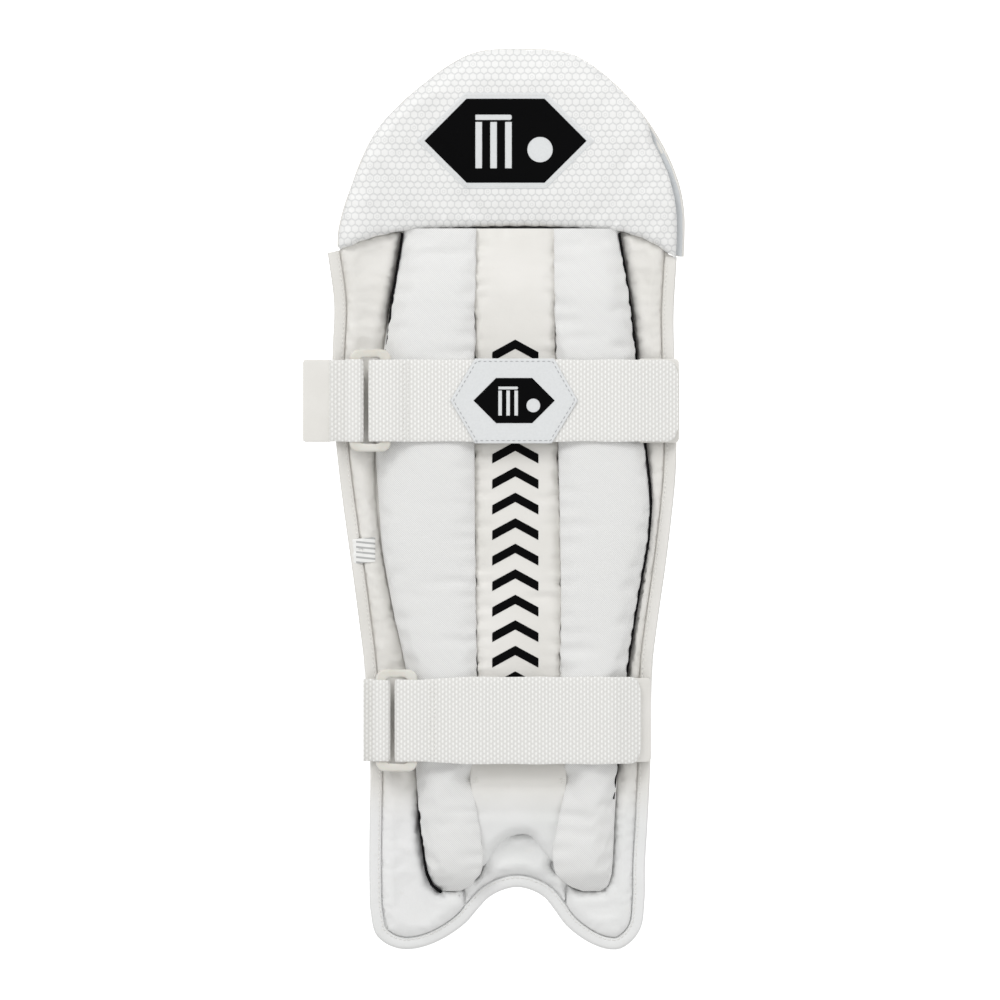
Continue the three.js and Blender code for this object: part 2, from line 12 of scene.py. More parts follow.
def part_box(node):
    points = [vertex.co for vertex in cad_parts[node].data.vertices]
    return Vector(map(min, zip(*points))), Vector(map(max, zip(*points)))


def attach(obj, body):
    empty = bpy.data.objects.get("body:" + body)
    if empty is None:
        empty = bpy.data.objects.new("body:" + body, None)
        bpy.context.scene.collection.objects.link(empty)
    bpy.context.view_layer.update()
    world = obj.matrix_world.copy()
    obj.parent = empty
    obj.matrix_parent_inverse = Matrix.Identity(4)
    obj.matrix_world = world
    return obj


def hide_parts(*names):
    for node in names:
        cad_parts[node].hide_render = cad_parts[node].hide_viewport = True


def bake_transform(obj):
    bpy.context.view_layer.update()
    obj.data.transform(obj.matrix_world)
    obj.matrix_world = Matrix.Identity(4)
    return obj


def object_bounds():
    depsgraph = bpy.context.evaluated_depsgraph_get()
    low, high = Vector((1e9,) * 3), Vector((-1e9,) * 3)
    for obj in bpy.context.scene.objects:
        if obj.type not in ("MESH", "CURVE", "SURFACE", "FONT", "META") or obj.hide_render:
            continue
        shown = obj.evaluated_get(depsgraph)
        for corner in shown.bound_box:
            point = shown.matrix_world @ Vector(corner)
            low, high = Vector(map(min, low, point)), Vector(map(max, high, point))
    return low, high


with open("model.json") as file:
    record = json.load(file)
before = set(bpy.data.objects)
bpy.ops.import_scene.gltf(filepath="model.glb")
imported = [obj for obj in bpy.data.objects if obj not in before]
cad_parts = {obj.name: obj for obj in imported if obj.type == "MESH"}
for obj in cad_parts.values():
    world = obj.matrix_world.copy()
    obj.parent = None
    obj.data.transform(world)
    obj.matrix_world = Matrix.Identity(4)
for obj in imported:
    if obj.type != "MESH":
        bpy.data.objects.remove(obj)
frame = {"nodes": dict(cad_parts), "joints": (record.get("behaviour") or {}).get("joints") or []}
cad_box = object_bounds()
MM = 0.001

# ------------------------------------------------------------------ shell lining
# One sheet of smooth synthetic leather, bent round the shin, carries every other layer of the pad.
# Its cut edge is read from the frame and drawn as a fair line.
WRAP_RADIUS = 0.3
FACET_SAG = 0.2 * MM
LINING_FRONT = -1.2 * MM
wrap_x = sum(corner.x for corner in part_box("shin_rib_4")) / 2
wrap_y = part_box("shin_lining")[1].y + FACET_SAG


def wrap(x):
    return wrap_y - WRAP_RADIUS + np.sqrt(WRAP_RADIUS**2 - (x - wrap_x) ** 2)


def edge_loop(node, reshape=lambda points: points):
    """The longest loop where a CAD node's leg side meets its walls, as x and z."""
    mesh = bmesh.new()
    mesh.from_mesh(frame["nodes"][node].data)
    bmesh.ops.remove_doubles(mesh, verts=mesh.verts, dist=2e-5)
    bmesh.ops.dissolve_degenerate(mesh, dist=1e-6, edges=mesh.edges)
    mesh.normal_update()
    link = {}
    for edge in mesh.edges:
        if len(edge.link_faces) == 2:
            towards = [face.normal.y < -0.5 for face in edge.link_faces]
            if towards[0] != towards[1]:
                a, b = edge.verts
                link.setdefault(a, []).append(b)
                link.setdefault(b, []).append(a)
    loops = []
    while link:
        loop = [next(iter(link))]
        while link.get(loop[-1]):
            here = loop[-1]
            onward = link[here].pop()
            link[onward].remove(here)
            loop.append(onward)
        for vert in loop:
            if vert in link and not link[vert]:
                del link[vert]
        if len(loop) > 3:
            loops.append(reshape(np.array([vert.co for vert in loop[:-1]]))[:, [0, 2]])
        else:
            link = {vert: rest for vert, rest in link.items() if rest}
    mesh.free()
    return max(loops, key=lambda loop: np.linalg.norm(np.roll(loop, -1, 0) - loop, axis=1).sum())


def even(line, step, closed=False):
    """Points at equal steps along a line."""
    line = np.vstack([line, line[:1]]) if closed else np.asarray(line, float)
    run = np.concatenate([[0], np.cumsum(np.linalg.norm(np.diff(line, axis=0), axis=1))])
    count = max(4, round(run[-1] / step))
    at = np.linspace(0, run[-1], count + 1)
    points = np.stack([np.interp(at, run, column) for column in line.T], axis=1)
    return points[:-1] if closed else points


def fair(points, step):
    """A smooth open line through points, at equal steps."""
    gap = np.linalg.norm(np.diff(points, axis=0), axis=1)[:, None]
    slope = np.diff(points, axis=0) / gap
    middle = (slope[:-1] * gap[1:] + slope[1:] * gap[:-1]) / (gap[1:] + gap[:-1])
    tangent = np.vstack([slope[:1], middle, slope[-1:]])
    t = np.linspace(0, 1, 13)[:-1][None, :, None]
    a, b = points[:-1, None], points[1:, None]
    pull = gap[:, None]
    line = (
        (2 * t**3 - 3 * t**2 + 1) * a
        + (t**3 - 2 * t**2 + t) * pull * tangent[:-1, None]
        + (3 * t**2 - 2 * t**3) * b
        + (t**3 - t**2) * pull * tangent[1:, None]
    )
    return even(np.vstack([line.reshape(-1, points.shape[1]), points[-1:]]), step)


def fair_loop(loop, step, corner=40):
    """A smooth closed line through a loop's corners that keeps the sharp ones."""
    ahead, back = np.roll(loop, -1, 0) - loop, loop - np.roll(loop, 1, 0)
    turn = np.degrees(np.arctan2(back[:, 0] * ahead[:, 1] - back[:, 1] * ahead[:, 0], (back * ahead).sum(1)))
    real = np.abs(turn) > 0.7
    loop, turn = loop[real], turn[real]
    sharp = np.flatnonzero(np.abs(turn) > corner)
    if not len(sharp):
        ring = np.vstack([loop[-3:], loop, loop[:3]])
        line = fair(ring, step / 4)
        first = np.linalg.norm(line - loop[0], axis=1)[: len(line) // 2].argmin()
        last = len(line) // 2 + np.linalg.norm(line - loop[0], axis=1)[len(line) // 2:].argmin()
        return even(line[first:last], step, closed=True)
    loop = np.roll(loop, -sharp[0], axis=0)
    cuts = [*(sharp - sharp[0]), len(loop)]
    ring = np.vstack([loop, loop[:1]])
    runs = [fair(ring[a : b + 1], step)[:-1] for a, b in zip(cuts, cuts[1:])]
    return np.vstack(runs)


def anticlockwise(loop):
    after = np.roll(loop, -1, 0)
    area = (loop[:, 0] * after[:, 1] - loop[:, 1] * after[:, 0]).sum()
    return loop if area > 0 else loop[::-1]


def inset(loop, distance, closed=True):
    """An anticlockwise line moved inwards."""
    if closed:
        along = np.roll(loop, -1, 0) - np.roll(loop, 1, 0)
    else:
        along = np.gradient(loop, axis=0)
    along = along / np.linalg.norm(along, axis=1)[:, None]
    return loop + np.stack([-along[:, 1], along[:, 0]], axis=1) * distance


def away(points, line, closed=True):
    """How far each point is from a line."""
    a, b = (line, np.roll(line, -1, 0)) if closed else (line[:-1], line[1:])
    span = b - a
    size = np.maximum((span**2).sum(1), 1e-16)
    found = []
    for part in np.array_split(points, max(1, len(points) // 2000)):
        reach = part[:, None] - a
        t = np.clip((reach * span).sum(2) / size, 0, 1)
        found.append(np.linalg.norm(reach - t[..., None] * span, axis=2).min(1))
    return np.concatenate(found)


def inside(points, loop):
    after = np.roll(loop, -1, 0)
    x, z = points[:, :1], points[:, 1:]
    rise = np.where(after[:, 1] == loop[:, 1], 1e-12, after[:, 1] - loop[:, 1])
    crosses = (loop[:, 1] > z) != (after[:, 1] > z)
    left = x < (after[:, 0] - loop[:, 0]) * (z - loop[:, 1]) / rise + loop[:, 0]
    return (crosses & left).sum(1) % 2 == 1


def piece(name, points, faces, material, sharp=42):
    """A mesh object with outward faces and smooth shading."""
    mesh = bpy.data.meshes.new(name)
    mesh.from_pydata([tuple(p) for p in points], [], faces)
    edit = bmesh.new()
    edit.from_mesh(mesh)
    bmesh.ops.recalc_face_normals(edit, faces=edit.faces)
    edit.to_mesh(mesh)
    edit.free()
    mesh.shade_smooth()
    mesh.set_sharp_from_angle(angle=math.radians(sharp))
    made = bpy.data.objects.new(name, mesh)
    bpy.context.scene.collection.objects.link(made)
    mesh.materials.append(material)
    return made


def panel(name, loop, step, front, back, material, holes=(), rings=(), sharp=42):
    """A closed sheet or pad with this edge. front and back give y at (x, z) points and their distance in."""
    edges = [loop, *holes]
    low, high = loop.min(0), loop.max(0)
    rows = np.arange(low[1], high[1], step * 0.87)
    columns = np.arange(low[0], high[0], step)
    grid = np.array([(x + (i % 2) * step / 2, z) for i, z in enumerate(rows) for x in columns])
    cover = [*edges]
    for depth in rings:
        for line in edges:
            side = depth if line is loop else -depth
            ring = inset(line, side)
            clear = np.min([away(ring, other) for other in edges], axis=0) > 0.85 * depth
            cover.append(ring[clear & inside(ring, loop)])
    keep = inside(grid, loop)
    keep &= np.min([away(grid, line) for line in edges], axis=0) > max(rings, default=0) + 0.55 * step
    for hole in holes:
        keep &= ~inside(grid, hole)
    plan = np.vstack([*cover, grid[keep]])
    bound, start = [], 0
    for line in edges:
        count = len(line)
        bound += [(start + i, start + (i + 1) % count) for i in range(count)]
        start += count
    plan, _, triangles, *_ = delaunay_2d_cdt([Vector(p) for p in plan], bound, [], 0, 1e-7)
    plan = np.array(plan)
    triangles = np.array([t for t in triangles if len(t) == 3])
    centre = plan[triangles].mean(1)
    real = inside(centre, loop)
    for hole in holes:
        real &= ~inside(centre, hole)
    triangles = triangles[real]
    used, triangles = np.unique(triangles, return_inverse=True)
    plan, triangles = plan[used], triangles.reshape(-1, 3)
    distance = np.min([away(plan, line) for line in edges], axis=0)
    near, far = front(plan, distance), back(plan, distance)
    points = np.vstack([np.column_stack([plan[:, 0], y, plan[:, 1]]) for y in (near, far)])
    count, seen = len(plan), {}
    for a, b, c in triangles:
        for edge in ((a, b), (b, c), (c, a)):
            seen[edge] = seen.get(edge, 0) + 1
    rim = [(a, b) for a, b in seen if (b, a) not in seen]
    faces = [tuple(map(int, t)) for t in triangles]
    faces += [tuple(int(i) + count for i in t[::-1]) for t in triangles]
    faces += [(int(b), int(a), int(a) + count, int(b) + count) for a, b in rim]
    return piece(name, points, faces, material, sharp)


class Wire:
    """A shader socket that takes part in sums, and adds the node that each sum needs."""

    def __init__(self, tree, socket):
        self.tree, self.socket = tree, socket

    def node(self, kind, inputs=None, out=0, stops=None, **settings):
        made = self.tree.nodes.new(kind)
        for key, value in settings.items():
            setattr(made, key, value)
        if stops:
            ramp = made.color_ramp
            while len(ramp.elements) < len(stops):
                ramp.elements.new(0.5)
            for element, (at, colour) in zip(ramp.elements, stops):
                element.position, element.color = at, colour
        for key, value in (inputs or {}).items():
            if isinstance(value, Wire):
                self.tree.links.new(value.socket, made.inputs[key])
            else:
                made.inputs[key].default_value = value
        return Wire(self.tree, made.outputs[out])

    def math(self, operation, *others):
        return self.node("ShaderNodeMath", dict(enumerate((self, *others))), operation=operation)

    def vector(self, operation, *others, out=0):
        return self.node("ShaderNodeVectorMath", dict(enumerate((self, *others))), out, operation=operation)

    def __add__(self, other):
        return self.math("ADD", other)

    __radd__ = __add__

    def __sub__(self, other):
        return self.math("SUBTRACT", other)

    def __rsub__(self, other):
        return self.node("ShaderNodeMath", {0: other, 1: self}, operation="SUBTRACT")

    def __mul__(self, other):
        return self.math("MULTIPLY", other)

    __rmul__ = __mul__

    def __truediv__(self, other):
        return self.math("DIVIDE", other)

    def between(self, low, high):
        """0 below low, 1 above high, and smooth in between."""
        return self.node(
            "ShaderNodeMapRange",
            {"Value": self, "From Min": low, "From Max": high},
            interpolation_type="SMOOTHSTEP",
        )

    def noise(self, size, detail=2.0, rough=0.5):
        scaled = {"Vector": self, "Scale": 1 / size, "Detail": detail, "Roughness": rough}
        return self.node("ShaderNodeTexNoise", scaled)

    def parts(self):
        split = self.tree.nodes.new("ShaderNodeSeparateXYZ")
        self.tree.links.new(self.socket, split.inputs[0])
        return [Wire(self.tree, socket) for socket in split.outputs]

    def blend(self, first, second):
        """From the first colour to the second, as this value goes from 0 to 1."""
        return self.node("ShaderNodeMix", {0: self, 6: first, 7: second}, 2, data_type="RGBA")


def finish_of(name, recipe, **constants):
    """A material. recipe takes the place in metres and returns what varies, and a height in metres."""
    material = bpy.data.materials.new(name)
    material.use_nodes = True
    tree = material.node_tree
    shader = tree.nodes["Principled BSDF"]
    for key, value in constants.items():
        shader.inputs[key.replace("_", " ")].default_value = value
    place = Wire(tree, tree.nodes.new("ShaderNodeTexCoord").outputs["Object"])
    varied, height = recipe(place)
    for key, wire in varied.items():
        tree.links.new(wire.socket, shader.inputs[key])
    if height is not None:
        bump = place.node("ShaderNodeBump", {"Height": height, "Distance": 1.0, "Strength": 1.0})
        tree.links.new(bump.socket, shader.inputs["Normal"])
    return material


def rgb(red, green, blue):
    """A display colour, 0 to 255, as the linear one that a shader takes."""
    share = (np.array([red, green, blue]) / 255 + 0.055) / 1.055
    return (*np.power(share, 2.4), 1.0)


def smooth_leather(place):
    grain = place.node("ShaderNodeTexVoronoi", {"Vector": place, "Scale": 1 / (1.1 * MM)}, 0)
    fine = place.noise(0.5 * MM, 3)
    cloud = place.noise(55 * MM, 3)
    warm = cloud.between(0.3, 0.7).blend(rgb(226, 224, 219), rgb(233, 231, 227))
    cool = cloud.between(0.3, 0.7).blend(rgb(230, 231, 230), rgb(235, 235, 235))
    colour = place.parts()[2].between(-180 * MM, -140 * MM).blend(cool, warm)
    soiled = place.noise(7 * MM, 4).between(0.62, 0.8)
    colour = (soiled * 0.3).blend(colour, rgb(224, 222, 216))
    roughness = 0.4 + cloud * 0.12 + fine * 0.1
    height = grain * (0.035 * MM) + fine * (0.03 * MM) + place.noise(14 * MM) * (0.5 * MM)
    return {"Base Color": colour, "Roughness": roughness}, height


LEATHER = finish_of("smooth leather", smooth_leather, Specular_IOR_Level=0.42)

lining_loop = anticlockwise(fair_loop(edge_loop("shin_lining"), 3 * MM))
lining = panel(
    "lining_sheet",
    lining_loop,
    7 * MM,
    lambda plan, _: wrap(plan[:, 0]) + LINING_FRONT,
    lambda plan, _: wrap(plan[:, 0]),
    LEATHER,
)
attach(lining, "shin")
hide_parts("shin_lining", "shin_core")

# ------------------------------------------------------------------ edge binding
# A folded strip of the same leather wraps the cut edge of the shell from the leg side to the impact side.
# It runs from one hem corner round the foot to the other, and a row of lock stitches holds it.
BINDING_LIP = 7.8 * MM
SHELL_EDGE = 1.5 * MM


def sweep(name, line, section, material, closed=False):
    """A strip along an edge of the shell. Its section is a ring of (inset, depth) pairs."""
    rings = []
    for step_in, depth in section:
        plan = inset(line, step_in, closed)
        rings.append(np.column_stack([plan[:, 0], wrap(plan[:, 0]) + depth, plan[:, 1]]))
    return loft(name, np.array(rings).transpose(1, 0, 2), material, closed)


def loft(name, rings, material, closed=False, sharp=42):
    """A skin over rings of points, given as stations by points by x, y and z."""
    stations, sides, _ = rings.shape
    faces = []
    for i in range(stations if closed else stations - 1):
        here, onward = i * sides, (i + 1) % stations * sides
        for k in range(sides):
            after = (k + 1) % sides
            faces.append((here + k, here + after, onward + after, onward + k))
    if not closed:
        faces += [tuple(range(sides)), tuple(range((stations - 1) * sides, stations * sides))]
    return piece(name, rings.reshape(-1, 3), faces, material, sharp)


def hem_to_hem(loop):
    """The part of an anticlockwise outline from its upper left corner down and round to the right."""
    loop = np.roll(loop, -(loop[:, 1] - loop[:, 0]).argmax(), axis=0)
    return loop[: loop.sum(1).argmax() + 1]


def folded(near, far, lip, back_lip):
    """The section of a binding, from its lip on the leg side round the edge to its lip on the impact side."""
    section = [(lip, near + 1.2), (lip, near + 0.5), (lip - 0.5, near + 0.05)]
    section += [(2.2, near), (0.9, near + 0.5)]
    section += [(0.2, near + 1.5), (0, near + 3), (-0.15, (near + far) / 2), (0, far - 3), (0.2, far - 1.5)]
    section += [(0.9, far - 0.5), (2.2, far), (back_lip - 0.5, far - 0.05), (back_lip, far - 0.5)]
    section += [(back_lip, far - 1.1), (2.0, far - 1.2), (1.3, far - 2), (1.3, near + 2), (2.0, near + 1.2)]
    return [(across * MM, depth * MM) for across, depth in section]


body_edge = inset(hem_to_hem(lining_loop), -SHELL_EDGE, closed=False)
binding = sweep("edge_binding", body_edge, folded(-2.8, 14.9, BINDING_LIP / MM, 6.5), LEATHER)
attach(binding, "shin")
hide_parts("shin_binding")


def surface(*objects):
    """The depth of the nearest of these pieces under points in x and z, met from one side of the pad."""
    trees = []
    for found in objects:
        mesh = found.data
        corners = [tuple(face.vertices) for face in mesh.polygons]
        trees.append(BVHTree.FromPolygons([v.co for v in mesh.vertices], corners))

    def depth(plan, side=-1):
        met = []
        for x, z in plan:
            hits = [tree.ray_cast(Vector((x, side, z)), Vector((0, -side, 0)))[0] for tree in trees]
            hits = [hit.y for hit in hits if hit is not None]
            met.append((min(hits) if side < 0 else max(hits)) if hits else np.nan)
        met, at = np.array(met), np.arange(len(met))
        missed = np.isnan(met)
        met[missed] = np.interp(at[missed], at[~missed], met[~missed])
        return met

    return depth


def on(line, *objects, lift=0.0, side=-1):
    """A line in x and z, laid on the surface of pieces."""
    return np.column_stack([line[:, 0], surface(*objects)(line, side) + side * lift, line[:, 1]])


def thread_look(place):
    twist = place.noise(0.8 * MM, 2)
    return {"Base Color": twist.blend(rgb(226, 225, 221), rgb(244, 243, 240))}, twist * (0.05 * MM)


def stitch_run():
    """Geometry nodes that set one rounded stitch at each step along a curve."""
    tree = bpy.data.node_groups.new("stitch run", "GeometryNodeTree")
    tree.is_modifier = True
    sockets = tree.interface
    sockets.new_socket("Geometry", in_out="INPUT", socket_type="NodeSocketGeometry")
    names = [("Pitch", "Float"), ("Length", "Float"), ("Thickness", "Float"), ("Thread", "Material")]
    ids = {
        label: sockets.new_socket(label, in_out="INPUT", socket_type="NodeSocket" + kind).identifier
        for label, kind in names
    }
    sockets.new_socket("Geometry", in_out="OUTPUT", socket_type="NodeSocketGeometry")

    def add(kind, links=(), **settings):
        made = tree.nodes.new(kind)
        for key, value in settings.items():
            setattr(made, key, value)
        for key, source in dict(links).items():
            if isinstance(source, (int, float)):
                made.inputs[key].default_value = source
            else:
                tree.links.new(source, made.inputs[key])
        return made.outputs

    given = add("NodeGroupInput")
    run = {"Curve": given["Geometry"], "Length": given["Pitch"]}
    steps = add("GeometryNodeResampleCurve", run, mode="LENGTH")
    bead = add("GeometryNodeMeshUVSphere", {"Segments": 6, "Rings": 4, "Radius": 0.5})
    tangent = add("GeometryNodeInputTangent")
    turn = add("FunctionNodeAlignRotationToVector", {"Vector": tangent[0]}, axis="X")
    size = add("ShaderNodeCombineXYZ", {0: given["Length"], 1: given["Thickness"], 2: given["Thickness"]})
    placed = {"Points": steps[0], "Instance": bead[0], "Rotation": turn[0], "Scale": size[0]}
    beads = add("GeometryNodeInstanceOnPoints", placed)
    real = add("GeometryNodeRealizeInstances", {"Geometry": beads[0]})
    smooth = add("GeometryNodeSetShadeSmooth", {"Geometry": real[0]})
    dressed = add("GeometryNodeSetMaterial", {"Geometry": smooth[0], "Material": given["Thread"]})
    add("NodeGroupOutput", {0: dressed[0]})
    return tree, ids


STITCH_TREE, STITCH_IDS = stitch_run()
THREAD = finish_of("sewing thread", thread_look, Roughness=0.7)


def stitches(name, lines, pitch=3.2 * MM, length=2.4 * MM, thick=0.7 * MM, thread=THREAD):
    """Rows of stitches along lines of x, y and z, as one mesh."""
    curve = bpy.data.curves.new(name, "CURVE")
    curve.dimensions = "3D"
    for line in lines:
        spline = curve.splines.new("POLY")
        spline.points.add(len(line) - 1)
        spline.points.foreach_set("co", np.column_stack([line, np.ones(len(line))]).ravel())
    row = bpy.data.objects.new(name + "_row", curve)
    bpy.context.scene.collection.objects.link(row)
    modifier = row.modifiers.new("stitches", "NODES")
    modifier.node_group = STITCH_TREE
    for label, value in (("Pitch", pitch), ("Length", length), ("Thickness", thick), ("Thread", thread)):
        modifier[STITCH_IDS[label]] = value
    depsgraph = bpy.context.evaluated_depsgraph_get()
    mesh = bpy.data.meshes.new_from_object(row.evaluated_get(depsgraph))
    bpy.data.objects.remove(row)
    made = bpy.data.objects.new(name, mesh)
    bpy.context.scene.collection.objects.link(made)
    return made


lip_line = inset(body_edge, 6.4 * MM, closed=False)[2:-2]
far_lip_line = inset(body_edge, 5.2 * MM, closed=False)[2:-2]
edge_rows = [on(lip_line, binding, lift=0.1 * MM), on(far_lip_line, binding, side=1)]
edge_stitches = stitches("edge_stitches", edge_rows)
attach(edge_stitches, "shin")

# ------------------------------------------------------------------ wing and instep pads
# Thin foam pads under leather fill each wing beside the bolster, and one more lies over the instep.
# Each is blown up as cloth between its sewn edges, so that it swells and gathers a little.
WING_RISE = 5.6 * MM
WING_SHOULDER = 8 * MM
# the pads reach this far under the bolster, the hem of the dome and the flap at the foot
UNDER_BOLSTER = 3.4 * MM
UNDER_HEM = 1.6 * MM
UNDER_FLAP = 9 * MM
HEM_ABOVE = 190 * MM


def along(points, line):
    """How far round a line the nearest spot to each point is."""
    run = np.concatenate([[0], np.cumsum(np.linalg.norm(np.diff(line, axis=0), axis=1))])
    found = []
    for part in np.array_split(points, max(1, len(points) // 2000)):
        found.append(run[np.linalg.norm(part[:, None] - line, axis=2).argmin(1)])
    return np.concatenate(found)


def gathers(run, pitch, seed):
    """Uneven little folds along a seam, from about -1 to 1."""
    draw = np.random.default_rng(seed)
    total = 0
    for _ in range(4):
        wave = pitch * draw.uniform(0.7, 1.4)
        total = total + np.sin(2 * np.pi * run / wave + draw.uniform(0, 7))
    return total / 2.6


def unevenness(plan, size, seed):
    """Gentle hollows and swellings of padding, from about -1 to 1."""
    draw = np.random.default_rng(seed)
    total = 0
    for _ in range(6):
        angle, wave = draw.uniform(0, 2 * np.pi), size * draw.uniform(0.7, 1.6)
        phase = (plan[:, 0] * math.cos(angle) + plan[:, 1] * math.sin(angle)) * 2 * np.pi / wave
        total = total + np.sin(phase + draw.uniform(0, 7))
    return total / 3.4


def shoulder(distance, width, power=2.0):
    """The rise of a stuffed edge, from 0 at the seam to 1 where the padding is full."""
    share = 1 - np.clip(distance / width, 0, 1)
    return (1 - share**power) ** (1 / power)


def swell(obj, sewn, cap, growth=0.02, pressure=4.0, frames=20):
    """Blows a piece up as cloth. Sewn points stay, and none goes further than cap from where it started."""
    rest = np.array([v.co for v in obj.data.vertices])
    obj.vertex_groups.new(name="sewn").add([int(i) for i in np.flatnonzero(sewn)], 1.0, "REPLACE")
    cloth = obj.modifiers.new("swell", "CLOTH")
    cloth.settings.quality = 5
    cloth.settings.mass = 0.3
    cloth.settings.use_pressure = True
    cloth.settings.uniform_pressure_force = pressure
    cloth.settings.shrink_min = -growth
    cloth.settings.effector_weights.gravity = 0
    cloth.settings.vertex_group_mass = "sewn"
    cloth.collision_settings.use_self_collision = False
    cloth.point_cache.frame_end = frames
    for frame_number in range(1, frames + 1):
        bpy.context.scene.frame_set(frame_number)
    moved = obj.evaluated_get(bpy.context.evaluated_depsgraph_get())
    shift = np.array([v.co for v in moved.data.vertices]) - rest
    size = np.linalg.norm(shift, axis=1)[:, None]
    shift *= np.minimum(1, cap / np.maximum(size, 1e-9))
    obj.modifiers.remove(cloth)
    obj.vertex_groups.clear()
    obj.data.vertices.foreach_set("co", (rest + shift).astype(np.float32).ravel())
    obj.data.update()
    bpy.context.scene.frame_set(1)


bolster_loops = [fair_loop(edge_loop(f"bolster_{side}_cover"), 3 * MM) for side in ("left", "right")]


def wing_pad(name, node, seed):
    loop = anticlockwise(fair_loop(edge_loop(node), 2.2 * MM))
    outward = (loop - inset(loop, 1 * MM)) / MM
    bolster = np.vstack(bolster_loops)
    towards = bolster[np.linalg.norm(loop[:, None] - bolster, axis=2).argmin(1)] - loop
    gap = np.linalg.norm(towards, axis=1)
    facing = np.clip((outward * towards).sum(1) / gap * 2 - 0.6, 0, 1)
    reach = UNDER_BOLSTER * facing * np.clip((6.5 * MM - gap) / (3 * MM), 0, 1)
    upward = np.clip(outward[:, 1] * 3 - 1.5, 0, 1)
    reach = np.maximum(reach, upward * (loop[:, 1] > HEM_ABOVE) * UNDER_HEM)
    if node == "instep_pad":
        reach = np.maximum(reach, upward * UNDER_FLAP)
    loop = loop + outward * reach[:, None]

    def front(plan, distance):
        rise = WING_RISE * shoulder(distance, WING_SHOULDER, 1.9)
        folds = np.exp(-distance / (4 * MM)) * gathers(along(plan, loop), 8 * MM, seed)
        lumps = (folds + unevenness(plan, 60 * MM, seed)) * 0.35 * MM
        rise += lumps * np.clip(distance / (2 * MM), 0, 1)
        return wrap(plan[:, 0]) + LINING_FRONT - 0.5 * MM - rise

    def back(plan, _):
        return wrap(plan[:, 0]) + LINING_FRONT - 0.1 * MM

    made = panel(name, loop, 2.7 * MM, front, back, LEATHER, rings=(0.7 * MM, 1.8 * MM, 3.4 * MM))
    points = np.array([v.co for v in made.data.vertices])
    depth = points[:, 1] - wrap(points[:, 0])
    swell(made, depth > -2.4 * MM, 1.6 * MM)
    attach(made, "shin")
    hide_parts(node)
    return made


wing_left = wing_pad("wing_cushion_left", "wing_pad_left", 11)
wing_pad("wing_cushion_right", "wing_pad_right", 12)
wing_pad("instep_cushion", "instep_pad", 13)

# ------------------------------------------------------------------ bolster gusset
# Black mesh side walls stand round the outer side of the bolster and join it to the lining.
# They show as a thin dark line on the right, at the upper left and round the left foot.
GUSSET_TOP = -9.6
GUSSET_FOOT = -1.4
GUSSET_THICK = 1.5
# where a wall fades out it is tucked this far under the channel
TUCKED = 1 * MM


def black_mesh(place):
    x, _, z = place.parts()
    turns = 2 * math.pi / (0.9 * MM)
    net = (x * turns).math("SINE") * (z * turns).math("SINE")
    colour = net.between(-0.4, 0.6).blend(rgb(9, 9, 10), rgb(24, 24, 25))
    return {"Base Color": colour}, net * (0.06 * MM)


def cut_levels(node, levels):
    """A CAD node's left edge, right edge and leg-side depth at each level."""
    mesh = frame["nodes"][node].data
    mesh.calc_loop_triangles()
    corners = np.array([[mesh.vertices[i].co for i in t.vertices] for t in mesh.loop_triangles])
    found = []
    for level in levels:
        met = []
        for a, b in ((0, 1), (1, 2), (2, 0)):
            first, second = corners[:, a], corners[:, b]
            crosses = (first[:, 2] > level) != (second[:, 2] > level)
            first, second = first[crosses], second[crosses]
            share = (level - first[:, 2]) / (second[:, 2] - first[:, 2])
            met.append(first + (second - first) * share[:, None])
        met = np.vstack(met)
        found.append([met[:, 0].min(), met[:, 0].max(), met[:, 1].min()])
    return np.array(found)


def outline(side, levels):
    """The same for one channel of the bolster, square at the hem and a little fuller where it bulges."""
    node = f"bolster_{side}_cover"
    spans = cut_levels(node, np.minimum(levels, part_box(node)[1].z - 3 * MM))

    def shift(most, at, spread):
        return most * MM * np.exp(-(((levels - at * MM) / (spread * MM)) ** 2))

    left_seam, right_seam, bulge = shift(-5, -148, 32), shift(4.6, -155, 34), shift(4.5, 35, 50)
    edges = {"left": (0, left_seam), "centre": (left_seam, right_seam), "right": (right_seam, bulge)}
    spans[:, 0] += edges[side][0]
    spans[:, 1] += edges[side][1]
    return spans


def eased(values, steps):
    """Values with their kinks drawn out over a number of steps."""
    kernel = np.hanning(steps + 2)[1:-1]
    kernel /= kernel.sum()
    padded = np.pad(values, ((steps // 2, steps // 2), (0, 0)), mode="reflect", reflect_type="odd")
    return np.stack([np.convolve(column, kernel, mode="valid") for column in padded.T], axis=1)


BLACK_MESH = finish_of("black side mesh", black_mesh, Roughness=0.85, Specular_IOR_Level=0.1)
side_section = [
    (0, GUSSET_TOP),
    (0.4, GUSSET_TOP - 0.4),
    (GUSSET_THICK - 0.4, GUSSET_TOP - 0.4),
    (GUSSET_THICK, GUSSET_TOP),
    (GUSSET_THICK, GUSSET_FOOT),
    (0, GUSSET_FOOT),
]
side_section = [(across * MM, depth * MM) for across, depth in side_section]
